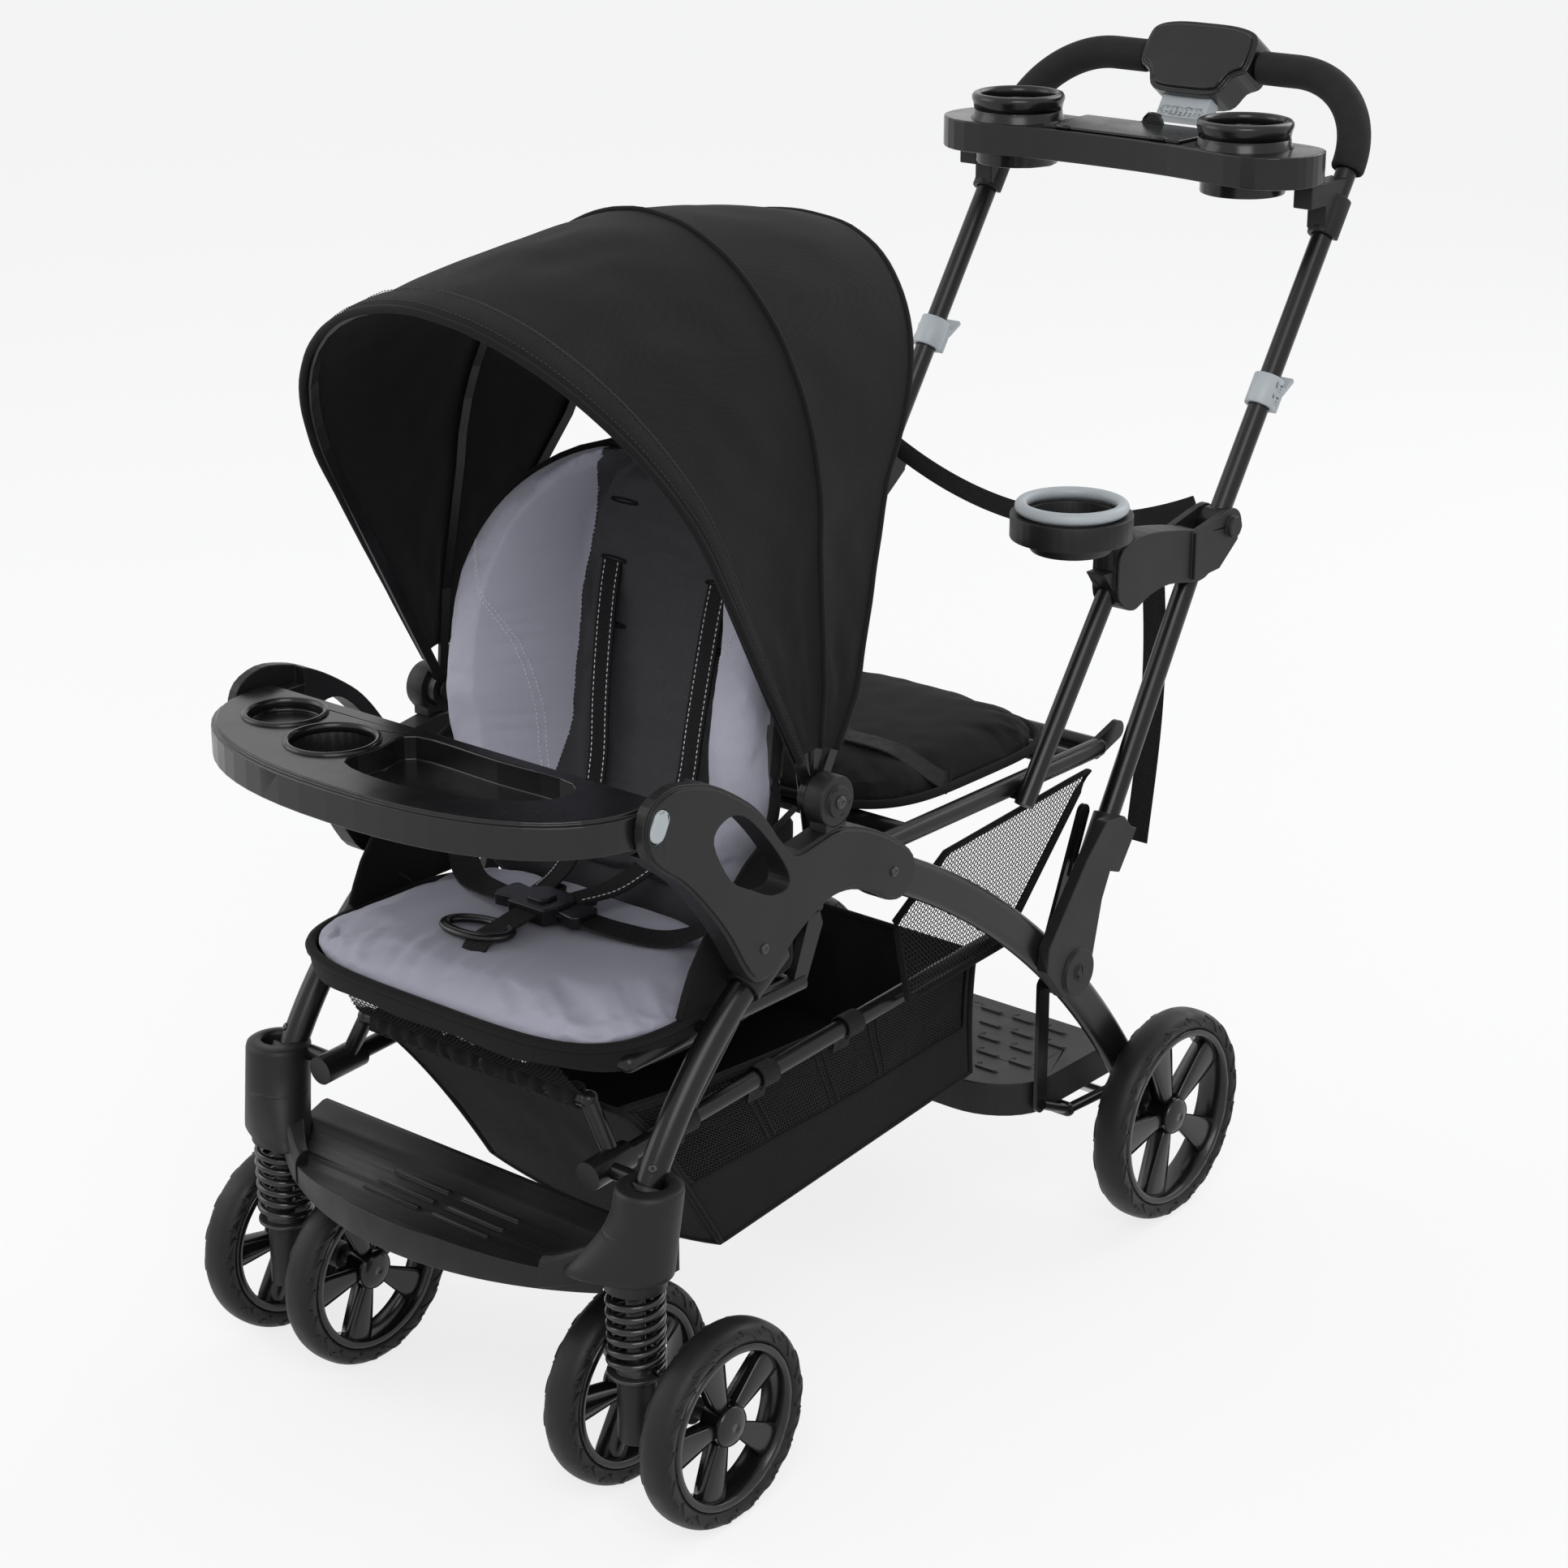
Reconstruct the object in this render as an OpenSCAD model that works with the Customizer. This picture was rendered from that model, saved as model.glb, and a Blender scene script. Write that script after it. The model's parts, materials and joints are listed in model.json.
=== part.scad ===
// Tandem sit-and-stand stroller: front seat under a folding canopy, rear bench with standing platform.
// The front faces -Y, +X is the side that carries the cup holder, and the floor is at z = 0.
// Places along Y are written from the rear axle and shifted once, so the origin is under the middle.

/* [Wheels] */
// Outer radius of a front wheel
front_wheel_r = 88.5; // [80:0.5:95]
// Width of a front tyre
front_tyre_w = 31; // [26:1:36]
// Distance of each twin front wheel from its caster axis
twin_offset = 52; // [48:1:60]
// Outer radius of a rear wheel
rear_wheel_r = 103.5; // [96:0.5:112]
// Width of a rear tyre
rear_tyre_w = 33; // [28:1:36]
// Distance of a rear wheel from the middle
rear_wheel_x = 231; // [230:1:245]
// Radial depth of a tyre
tyre_depth = 17; // [12:1:22]
// Spokes of a wheel
spoke_count = 5; // [4:1:6]
// Radius of the wheel axles
axle_r = 5; // [4:0.5:6]

/* [Casters] */
// Distance of a caster axis from the middle
caster_x = 206; // [200:1:215]
// Caster axis ahead of the rear axle
caster_y = 726; // [700:1:750]
// Distance of the front axle behind the caster axis
caster_trail = 44.5; // [38:0.5:52]
// Height of the underside of a caster pod
pod_z = 214; // [206:1:222]
// Radius of a caster pod
pod_r = 26; // [24:0.5:28]
// Height of the straight part of a caster pod
pod_h = 50; // [46:1:56]
// Radius of the steel caster stem
stem_r = 8; // [7:0.5:9]
// Radius of the swivel tube below the spring
swivel_r = 16; // [14:0.5:18]
// Height of the top of the swivel tube
swivel_top_z = 136; // [130:1:142]
// Thickness of the spring seat
spring_seat_t = 11; // [8:1:14]
// Mean radius of the suspension spring
spring_r = 21.5; // [20:0.5:23]
// Thickness of the spring wire
spring_wire = 5; // [3.5:0.5:5.5]
// Turns of the suspension spring
spring_turns = 6.5; // [5:0.5:7]
// Upward travel of the suspension
suspension_travel = 12; // [6:1:14]

/* [Front frame] */
// Diameter of the front leg tube
leg_d = 24; // [20:1:26]
// Rise of the front leg from its foot to its top
leg_rise = 145; // [135:1:155]
// Run of the front leg from its foot to its top
leg_run = 136; // [128:1:144]
// Bow of the front leg tube away from a straight line
leg_sag = 12.5; // [8:0.5:18]
// Height of the foot of the front leg at the pod rim
leg_foot_z = 295; // [290:1:300]
// Inner face of the side panels
panel_x = 212; // [211.8:0.1:213]
// Thickness of a side panel
panel_t = 23; // [18:1:26]
// Fold pivot ahead of the rear axle
pivot_y = 425; // [420:1:430]
// Height of the fold pivot
pivot_z = 478; // [474:1:482]
// Radius of the fold pin
pin_r = 6; // [5:0.5:7]
// Distance of the lower rails from the middle
rail_x = 155; // [152:0.5:156]
// Diameter of the lower rails
rail_d = 16; // [13:1:16]
// Height of the front end of a lower rail
rail_front_z = 292; // [286:1:296]
// Height of the rear end of a lower rail
rail_rear_z = 322; // [316:1:326]
// Rear end of the lower rails ahead of the rear axle
rail_rear_y = 182; // [178:1:195]
// Front radius of the footrest
footrest_r = 319; // [300:1:340]
// Front edge of the footrest ahead of the rear axle
footrest_y = 801; // [790:1:806]
// Height of the footrest skirt
footrest_h = 28; // [22:1:34]

/* [Front seat] */
// Distance of the seat side tubes from the middle
seat_tube_x = 180; // [178:0.5:181]
// Diameter of the seat tubes
seat_tube_d = 15; // [12:1:16]
// Clearance of the seat pad from the axis of the front legs
seat_side_gap = 20; // [19:0.5:34]
// Length of the seat pad
seat_l = 252; // [240:2:256]
// Thickness of the seat pad
seat_t = 34; // [26:1:40]
// Width of the backrest pad
back_w = 314; // [290:2:314]
// Height of the backrest pad
back_h = 364; // [350:2:380]
// Thickness of the backrest pad
back_t = 38; // [32:1:42]
// Lean of the backrest from upright
back_lean = 6; // [4:0.5:10]
// Depth of the backrest bolsters
bolster = 80; // [68:1:84]
// Room left between the bolsters and the canopy stays
bolster_room = 28; // [27:0.5:34]
// Backrest hinge ahead of the rear axle
back_y = 474; // [472:1:480]

/* [Canopy] */
// Canopy hub ahead of the rear axle
hub_y = 509; // [504:1:516]
// Height of the canopy hub
hub_z = 568; // [564:1:574]
// Reach of the canopy bows from the hub
bow_reach = 455; // [440:1:465]
// Half width of the canopy at its hubs
bow_half_w = 204; // [201:0.5:204.5]
// Elevation of the front bow
front_bow_angle = 62; // [58:1:68]
// Elevation of the middle bow
middle_bow_angle = 95; // [92:0.5:98]
// Elevation of the rear bow
rear_bow_angle = 119.5; // [116:0.5:122]
// Thickness of the canopy cloth
canopy_cloth = 2; // [1.5:0.1:3]

/* [Child tray] */
// Half width of the child tray
tray_half_w = 222; // [214:0.5:224]
// Front edge of the child tray ahead of the rear axle
tray_front_y = 842; // [830:1:856]
// Depth of the rounded front of the tray
tray_round = 127; // [110:1:140]
// Height of the top of the child tray
tray_z = 620; // [612:1:626]
// Height of the child tray skirt
tray_h = 30; // [26:1:34]
// Inner radius of the child cup holder
child_cup_r = 34; // [30:0.5:37]

/* [Rear frame] */
// Middle plane of the rear legs
rear_leg_x = 203; // [202:0.5:203.3]
// Width of the flat-oval rear leg
rear_leg_w = 34; // [30:1:38]
// Thickness of the flat-oval rear leg
rear_leg_t = 16; // [13:1:16]
// Bow of the rear leg away from a straight line
rear_leg_sag = 45; // [36:1:54]
// Distance of the handle tubes from the middle
tube_x = 195; // [194:0.5:197]
// Diameter of the handle tubes
tube_d = 20; // [18:1:21]
// Fold bracket disc ahead of the rear axle
disc_y = 145; // [140:1:150]
// Height of the fold bracket disc
disc_z = 296; // [292:1:300]
// Radius of the fold bracket disc
disc_r = 22; // [20:0.5:24]
// Half width of the standing platform
platform_half_w = 160; // [150:1:166]
// Front edge of the standing platform ahead of the rear axle
platform_y = 154; // [146:1:164]
// Height of the standing platform
platform_z = 155; // [148:1:162]
// Depth of the platform skirt
platform_h = 33; // [26:1:38]
// Distance of the bench side tubes from the middle
bench_x = 174; // [173:0.5:175]
// Diameter of the bench tubes
bench_d = 18; // [15:1:18]
// Height of the bench tubes
bench_z = 476; // [472:1:482]
// Length of the bench side tubes
bench_l = 330; // [320:1:336]
// Thickness of the bench pad
bench_pad_t = 34; // [26:1:40]

/* [Handle] */
// Height of the handle knuckles
knuckle_z = 660; // [654:1:666]
// Handle knuckles behind the rear axle
knuckle_y = 97; // [92:1:102]
// Lean of the upper handle from upright
handle_lean = 34; // [31:0.5:36]
// Length of the straight part of the upper handle
handle_l = 364; // [350:1:380]
// Bend radius of the handle arch
handle_bend = 90; // [80:1:100]
// Outer diameter of the foam grips
grip_d = 32; // [28:1:36]
// Half width of the parent tray
parent_half_w = 208; // [196:1:212]
// Height of the rims of the parent cup holders above the middle of the tray clamps
parent_rim_rise = 90.34; // [86:0.01:96]
// Distance of the parent cup holders from the middle
parent_cup_x = 130; // [124:1:136]
// Inner radius of the parent cup holders
parent_cup_r = 37; // [33:0.5:38.5]
// Inner radius of the side cup holder
side_cup_r = 38; // [34:0.5:40]
// Height of the side cup holder
side_cup_h = 46; // [40:1:54]

/* [Fits] */
// Gap between pieces that only lie side by side
gap = 0.3; // [0.2:0.05:0.5]
// Radial clearance of a running fit
run_fit = 0.06; // [0.03:0.01:0.1]
// Radial clearance of a tube in its socket
socket_fit = 0.15; // [0.1:0.05:0.3]

/* [Hidden] */
$fn = 48;

black = "#1c1c1e";
satin = "#2a2a2c";
cloth = "#151516";
grey = "#a3a8ad";
pale = "#a9adb6";

housing_half = 22;
handle_rise = handle_l + handle_bend;
handle_top_y = knuckle_y + handle_rise * sin(handle_lean);
handle_rear_y = handle_top_y + housing_half * cos(handle_lean) + 28 * sin(handle_lean);
y_shift = (tray_front_y - handle_rear_y) / 2;

seat_w = 2 * (caster_x - seat_side_gap);
leg_foot = [18 - caster_y, leg_foot_z];
leg_top = leg_foot + [leg_run, leg_rise];
pivot = [-pivot_y, pivot_z];
rear_axle_at = [0, rear_wheel_r];
panel_mid_x = panel_x + panel_t - 3;
front_axle_at = [caster_trail - caster_y, front_wheel_r];
knuckle_at = [knuckle_y, knuckle_z];
tube_top = knuckle_at + [-30, -22];
tube_foot = [58 - disc_y, disc_z + 80];
rail_front = [2 - caster_y, rail_front_z];
rail_rear = [-rail_rear_y, rail_rear_z];
hub_at = [-hub_y, hub_z];
seat_front = [-700, 390];
seat_rear = [-488, seat_front[1]];
bench_rear_y = -54;
link_x = tube_x - 2;

// Shifts the whole stroller so that the origin lies under its middle
module place() {
  translate([0, y_shift, 0]) children();
}

// A piece and its mirror image on the other side
module both() {
  children();
  mirror([1, 0, 0]) children();
}

// Round bar between two points
module rod(a, b, d) {
  v = b - a;
  l = norm(v);
  translate(a) rotate([0, acos(v[2] / l), atan2(v[1], v[0])]) cylinder(h = l, d = d);
}

// Outline in the plane of Y and Z, made thick along X from x0 to x1
module side_plate(x0, x1) {
  translate([x0, 0, 0]) rotate([90, 0, 90]) linear_extrude(x1 - x0) children();
}

// Round disc or pin along X
module pin_x(at, r, x0, x1) {
  translate([x0, at[0], at[1]]) rotate([0, 90, 0]) cylinder(r = r, h = x1 - x0);
}

// Closed smooth outline through hand-set points, with n steps between two points
function smooth(p, n) = [for (i = [0:len(p) - 1], k = [0:n - 1])
  let (m = len(p), a = p[(i + m - 1) % m], b = p[i], c = p[(i + 1) % m], d = p[(i + 2) % m], t = k / n)
  0.5 * (2 * b + (c - a) * t + (2 * a - 5 * b + 4 * c - d) * t * t + (3 * b - a - 3 * c + d) * t * t * t)];

function shifted(p, v) = [for (q = p) q + v];

// Centre, radius and angle of an arc from p to q that bows to the left by s
function arc_r(p, q, s) = pow(norm(q - p), 2) / (8 * s) + s / 2;
function arc_c(p, q, s) = let (d = q - p, n = [-d[1], d[0]] / norm(d)) (p + q) / 2 + n * (s - arc_r(p, q, s));
function arc_a(c, p) = atan2(p[1] - c[1], p[0] - c[0]);

// Bar bent along an arc in the plane of Y and Z, with its section as child, run past both ends by e0 and e1
module arc_bar(x, p, q, s, e0, e1) {
  c = arc_c(p, q, s);
  a1 = arc_a(c, p) + e0;
  a0 = arc_a(c, q) - e1;
  translate([x, c[0], c[1]]) rotate([90, 0, 90]) rotate([0, 0, a0])
    rotate_extrude(angle = a1 - a0) translate([arc_r(p, q, s), 0]) children();
}

function unit(v) = v / norm(v);

// Tube of flat faces along a path, with ring directions taken from the reference direction up
module sweep_tube(path, half_a, half_b, sides, up) {
  n = len(path);
  rings = [for (i = [0:n - 1])
    let (t = unit(path[min(i + 1, n - 1)] - path[max(i - 1, 0)]), a = unit(cross(t, up)), b = cross(a, t))
    [for (j = [0:sides - 1]) let (w = 360 * (j + 0.5) / sides)
      path[i] + a * half_a * cos(w) / cos(180 / sides) + b * half_b * sin(w) / cos(180 / sides)]];
  points = [for (r = rings) each r];
  walls = [for (i = [0:n - 2], j = [0:sides - 1])
    let (k = (j + 1) % sides, p = i * sides + j, q = i * sides + k)
    each [[p, q, p + sides], [q, q + sides, p + sides]]];
  first = [for (j = [1:sides - 2]) [0, j + 1, j]];
  last = [for (j = [1:sides - 2]) let (o = (n - 1) * sides) [o, o + j, o + j + 1]];
  polyhedron(points, concat(walls, first, last));
}

// Sheet with thickness between two grids of points, each a list of rows
module sheet_solid(outer, inner) {
  rows = len(outer);
  cols = len(outer[0]);
  m = rows * cols;
  points = concat([for (r = outer) each r], [for (r = inner) each r]);
  top = [for (i = [0:rows - 2], j = [0:cols - 2]) let (p = i * cols + j)
    each [[p, p + 1, p + cols], [p + 1, p + cols + 1, p + cols]]];
  under = [for (f = top) [f[0] + m, f[2] + m, f[1] + m]];
  rim = concat([for (j = [0:cols - 1]) j], [for (i = [1:rows - 1]) i * cols + cols - 1],
    [for (j = [cols - 2:-1:0]) (rows - 1) * cols + j], [for (i = [rows - 2:-1:1]) i * cols]);
  side = [for (k = [0:len(rim) - 1]) let (p = rim[k], q = rim[(k + 1) % len(rim)])
    each [[p, p + m, q], [q, p + m, q + m]]];
  polyhedron(points, concat(top, under, side));
}

// Crowned pad on a flat base: rounded outline with a drawn-in rim
function pad_outline(w, l, a) = let (c = cos(a), s = sin(a))
  [sign(c) * pow(abs(c), 0.5) * w / 2, sign(s) * pow(abs(s), 0.5) * l / 2];
function pad_crown(r) = pow(max(0, 1 - pow(r, 4)), 0.5);
module pad(w, l, t) {
  steps = 40;
  rings = 7;
  low = 0.3;
  top = [for (k = [1:rings - 1], j = [0:steps - 1])
    let (r = pow(k / rings, 0.8), p = r * pad_outline(w, l, 360 * j / steps))
    [p[0], p[1], t * (low + (1 - low) * pad_crown(r))]];
  rim = [for (j = [0:steps - 1]) let (p = pad_outline(w, l, 360 * j / steps)) [p[0], p[1], t * low]];
  base = [for (j = [0:steps - 1]) let (p = 0.93 * pad_outline(w, l, 360 * j / steps)) [p[0], p[1], 0]];
  points = concat([[0, 0, t]], top, rim, base, [[0, 0, 0]]);
  fan = [for (j = [0:steps - 1]) [0, 1 + j, 1 + (j + 1) % steps]];
  bands = [for (k = [0:rings - 1], j = [0:steps - 1])
    let (i = (j + 1) % steps, p = 1 + k * steps)
    each [[p + j, p + steps + j, p + i], [p + i, p + steps + j, p + steps + i]]];
  o = 1 + rings * steps;
  floor = [for (j = [0:steps - 1]) [o + steps, o + (j + 1) % steps, o + j]];
  polyhedron(points, [for (f = concat(fan, bands, floor)) [f[0], f[2], f[1]]]);
}

// Flat-oval section, wide along x
module flat_oval(w, t) {
  square([w - t, t], center = true);
  for (s = [-1, 1]) translate([s * (w - t) / 2, 0]) circle(d = t);
}

// Front leg tube, with g added all round where it is used to cut its sockets
module leg_tube(g) {
  arc_bar(caster_x, leg_foot, leg_top, leg_sag, 5, 2.5) circle(d = leg_d + 2 * g);
}

module front_legs() color(black) both() leg_tube(0);

// Side panel: arched moulding with a hand hole, a boss for the front leg and the pin of the frame fold
panel_edge = smooth(shifted([[-312, 128], [-304, 147], [-280, 156], [-252, 152], [-228, 143], [-204, 129],
  [-182, 113], [-166, 96], [-150, 75], [-134, 61], [-110, 63], [-80, 66], [-42, 55], [-2, 33], [21, 12],
  [21, -10], [5, -21], [-15, -17], [-36, -4], [-60, 6], [-85, 8], [-108, 1], [-136, -14], [-155, -30],
  [-175, -37], [-193, -25], [-218, 15], [-245, 49], [-270, 75], [-293, 92], [-307, 107]], pivot), 3);
hand_hole = smooth(shifted([[-234, 98], [-222, 113], [-200, 111], [-173, 86], [-148, 53], [-145, 36],
  [-164, 34], [-187, 45], [-214, 62]], pivot), 4);
button_at = pivot + [-297, 131];

// Outline moved inwards along its normals
function inset(p, d) = [for (i = [0:len(p) - 1])
  let (m = len(p), t = unit(p[(i + 1) % m] - p[(i + m - 1) % m])) p[i] + d * [t[1], -t[0]]];

module oval_button(g) {
  rotate([0, 0, 62]) flat_oval(26 + 2 * g, 17 + 2 * g);
}

module side_panel() {
  boss_dir = unit(leg_top - arc_c(leg_foot, leg_top, leg_sag));
  boss_along = [boss_dir[1], -boss_dir[0]];
  difference() {
    union() {
      side_plate(panel_x, panel_mid_x) polygon(panel_edge);
      side_plate(panel_mid_x - 0.01, panel_x + panel_t) polygon(inset(panel_edge, 3));
      rod([caster_x, leg_top[0] - 26 * boss_along[0], leg_top[1] - 26 * boss_along[1]],
        [caster_x, leg_top[0] + 20 * boss_along[0], leg_top[1] + 20 * boss_along[1]], leg_d + 9);
    }
    side_plate(panel_x - 40, panel_x + panel_t + 1) polygon(hand_hole);
    leg_tube(socket_fit);
    side_plate(panel_x + panel_t - 9, panel_x + panel_t + 1) translate(button_at) oval_button(gap);
    translate([panel_x - 1, -tray_front_y, tray_z - tray_h - 7])
      cube([tray_half_w + gap - panel_x + 1, tray_front_y - 668, 90]);
  }
  pin_x(pivot, pin_r, rear_leg_x - rear_leg_t / 2 - gap - 4, panel_x + 1);
  pin_x(pivot, pin_r + 4, rear_leg_x - rear_leg_t / 2 - gap - 4, rear_leg_x - rear_leg_t / 2 - gap);
}

module side_panel_right() color(black) side_panel();
module side_panel_left() color(black) mirror([1, 0, 0]) side_panel();

// Release button in the front end of a side panel
module tray_button() {
  side_plate(panel_x + panel_t - 5, panel_x + panel_t + 1.5) translate(button_at) oval_button(0);
}
module tray_button_right() color(grey) tray_button();
module tray_button_left() color(grey) mirror([1, 0, 0]) tray_button();

// Caster pod: upright housing bored for the stem, with a collar round the foot of the front leg
stem_bore_top = pod_z + pod_h - 12;
module caster_pod() {
  c = arc_c(leg_foot, leg_top, leg_sag);
  d = unit(leg_foot - c);
  along = [-d[1], d[0]];
  difference() {
    union() {
      translate([caster_x, -caster_y, pod_z]) cylinder(r = pod_r, h = pod_h);
      translate([caster_x, -caster_y, pod_z + pod_h]) cylinder(r1 = pod_r, r2 = pod_r - 6, h = 6);
      rod([caster_x, leg_foot[0], leg_foot[1]],
        [caster_x, leg_foot[0] + 50 * along[0], leg_foot[1] + 50 * along[1]], leg_d + 11);
    }
    leg_tube(socket_fit);
    translate([caster_x, -caster_y, pod_z - 1]) cylinder(r = stem_r + run_fit, h = stem_bore_top - pod_z + 1);
  }
}
module caster_pods() color(satin) both() caster_pod();

// Footrest: dished step between the pods with raised ribs and an open underside
footrest_z = pod_z - 9;
footrest_back_y = footrest_y - 129;
dish_r = 150;
dish_depth = 12;
module footrest() color(satin) difference() {
  union() {
    difference() {
      intersection() {
        translate([0, footrest_r - footrest_y, footrest_z])
          cylinder(r = footrest_r, h = footrest_h, $fn = 96);
        translate([-caster_x, -footrest_y - 10, footrest_z - 1])
          cube([2 * caster_x, footrest_y + 10 - footrest_back_y, footrest_h + 2]);
      }
      pin_x([-(footrest_y + footrest_back_y) / 2, footrest_z + footrest_h - dish_depth + dish_r], dish_r,
        -caster_x - 1, caster_x + 1);
    }
    for (s = [-1, 1], k = [-1:1]) {
      off = 18 * k;
      drop = sqrt(dish_r * dish_r - off * off);
      zc = footrest_z + footrest_h - dish_depth + dish_r - drop;
      rod([s * 40 - 32, off - (footrest_y + footrest_back_y) / 2, zc],
        [s * 40 + 32, off - (footrest_y + footrest_back_y) / 2, zc], 5);
    }
  }
  intersection() {
    translate([0, footrest_r - footrest_y, footrest_z - 1]) cylinder(r = footrest_r - 5, h = 9, $fn = 96);
    translate([6 - caster_x, -footrest_y, footrest_z - 2])
      cube([2 * caster_x - 12, footrest_y - footrest_back_y - 5, 12]);
  }
  both() translate([caster_x, -caster_y, 0]) cylinder(r = pod_r + gap, h = pod_z + pod_h + 20);
}

// Lower rails: tubes with moulded end caps, pegged to the front legs and joined by the hoop of the basket
hoop_z = rail_front_z + 48;
hoop_end = [rail_x - 27, rail_front[0] + 32, hoop_z];
module lower_rail() {
  a = [rail_x, rail_front[0], rail_front[1]];
  b = [rail_x, rail_rear[0], rail_rear[1]];
  d = unit(b - a);
  rod(a + 4 * d, b, rail_d);
  rod(a, a + 46 * d, rail_d + 9);
  peg = a + 20 * d;
  pin_x([peg[1], peg[2]], 7, rail_x, caster_x - leg_d / 2 - 5.5 - gap);
  rod(a + 32 * d, hoop_end, rail_d - 2);
  translate(hoop_end) sphere(d = rail_d);
}
module lower_rails() color(black) {
  both() lower_rail();
  rod([-hoop_end[0], hoop_end[1], hoop_end[2]], hoop_end, rail_d - 2);
}

// Seat frame: side tubes, two cross tubes, pegs to the front legs and struts down to the lower rails
function rail_at(y) = rail_front[1]
  + (rail_rear[1] - rail_front[1]) * (y - rail_front[0]) / (rail_rear[0] - rail_front[0]);
function leg_y_at(z) = let (c = arc_c(leg_foot, leg_top, leg_sag), r = arc_r(leg_foot, leg_top, leg_sag))
  c[0] - sqrt(r * r - pow(z - c[1], 2));
module seat_frame() color(black) {
  r = seat_tube_d / 2;
  peg_z = seat_front[1] + 9;
  peg_y = leg_y_at(peg_z);
  both() {
    rod([seat_tube_x, seat_front[0], seat_front[1]], [seat_tube_x, seat_rear[0], seat_rear[1]], seat_tube_d);
    translate([seat_tube_x, seat_front[0], seat_front[1]]) sphere(r = r);
    pin_x([peg_y, peg_z], 5, seat_tube_x, caster_x - leg_d / 2 - gap);
    rod([rail_x + 2, -600, rail_at(-600) + rail_d / 2 + 3], [seat_tube_x, -566, seat_rear[1]], 9);
  }
  rod([-seat_tube_x, seat_front[0], seat_front[1]], [seat_tube_x, seat_front[0], seat_front[1]], seat_tube_d);
  rod([-seat_tube_x, seat_rear[0] - 14, seat_rear[1]],
    [seat_tube_x, seat_rear[0] - 14, seat_rear[1]], seat_tube_d);
  both() side_plate(seat_tube_x - 4, seat_tube_x + 4)
    polygon([seat_rear + [-16, 0], seat_rear + [0, -6], back_hinge + [10, -2], back_hinge + [6, 10],
      back_hinge + [-9, 6]]);
  both() pin_x(back_hinge, axle_r, back_pin_x, seat_tube_x);
}

// Seat pad, lying between the seat side tubes
seat_base_z = seat_front[1] + seat_tube_d / 2 + gap;
seat_pad_y = seat_front[0] - 45 + seat_l / 2;
module seat_pad() color(pale) translate([0, seat_pad_y, seat_base_z]) pad(seat_w, seat_l, seat_t);

// Buckle of the harness with the two waist belts, lying on the seat pad
module harness_buckle() color(cloth) {
  z = seat_base_z + seat_t + gap;
  translate([-24, seat_pad_y - 12, z]) cube([48, 40, 13]);
  translate([-9, seat_pad_y - 62, z]) cube([18, 51, 3]);
  both() translate([23, seat_pad_y + 2, z]) cube([62, 20, 3]);
}

// Backrest: pad on a tube frame that turns on the pins of the seat frame, with the shoulder straps
back_hinge = [-back_y, seat_base_z + seat_t + 6];
back_pin_x = 160;
module on_backrest() {
  translate([0, back_hinge[0], back_hinge[1]]) rotate([-back_lean, 0, 0]) children();
}
module backrest_frame() color(black) on_backrest() {
  y = back_t / 2 + 6 + gap;
  eye_x = back_pin_x + 5;
  corner = [0.31 * back_w, y, 0.8 * back_h];
  both() {
    difference() {
      union() {
        pin_x([0, 0], 11, eye_x - 4, eye_x + 4);
        side_plate(eye_x - 4, eye_x + 4) polygon([[2, 10], [2, -9], [y + 3, 4], [y + 3, 18]]);
      }
      pin_x([0, 0], axle_r + run_fit, eye_x - 10, eye_x + 10);
    }
    rod([eye_x, y, 10], corner, 12);
    translate(corner) sphere(d = 13);
  }
  rod([-corner[0], y, corner[2]], corner, 12);
}
function back_rise(t) = 0.5 - 0.5 * cos(180 * min(1, max(0, (t - 0.08) / 0.26)));
function back_taper(t) = (1 + (2 * (bow_half_w - bolster_room) / back_w - 1) * back_rise(t))
  * (t < 0.55 ? 1 : sqrt(1 - pow((t - 0.55) / 0.47, 2.5)));
function bolster_at(t) = bolster * (1 - pow(abs(t - 0.43) / 0.66, 2));
function swell(u) = u < 0.52 ? 0 : sin(240 * (u - 0.52)) * (1 - 0.25 * pow(u, 16));
function belly(t) = t < 0.45 ? 26 * sin(200 * t) : 26 - 12 * pow((t - 0.45) / 0.55, 2);
function middle(u) = u < 0.5 ? 1 : max(0, 1 - (u - 0.5) / 0.3);
function back_front(u, t) = 9 * pow(t, 16) - back_t / 2 + belly(t) * middle(u) - bolster_at(t) * swell(u)
  + seam(u) * (1 - pow(t, 8));
function hollow(u) = u < 0.5 ? 0 : pow(sin(180 * (u - 0.5)), 2);
function seam(u) = 4 * exp(-pow((u - 0.53) / 0.06, 2));
back_rows = [for (i = [0:14]) 1 - pow(1 - i / 14, 1.35)];
module backrest_pad() color(pale) on_backrest() {
  us = [for (j = [-12:12]) -j / 12];
  front = [for (t = back_rows) [for (u = us)
    [u * back_w / 2 * back_taper(t), back_front(abs(u), t), back_h * t]]];
  back = [for (t = back_rows) [for (u = us)
    [u * back_w / 2 * back_taper(t),
      back_t / 2 - 9 * pow(t, 16) - 0.85 * bolster_at(t) * hollow(abs(u)), back_h * t]]];
  sheet_solid(front, back);
}
module harness_straps() color(cloth) on_backrest() both() side_plate(49, 71) {
  run = [for (t = back_rows) if (t > 0.12 && t < 0.8) [back_front(0, t) - gap, back_h * t]];
  n = len(run) - 1;
  polygon(concat(run, [for (i = [n:-1:0]) run[i] - [2, 0]]));
}

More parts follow.
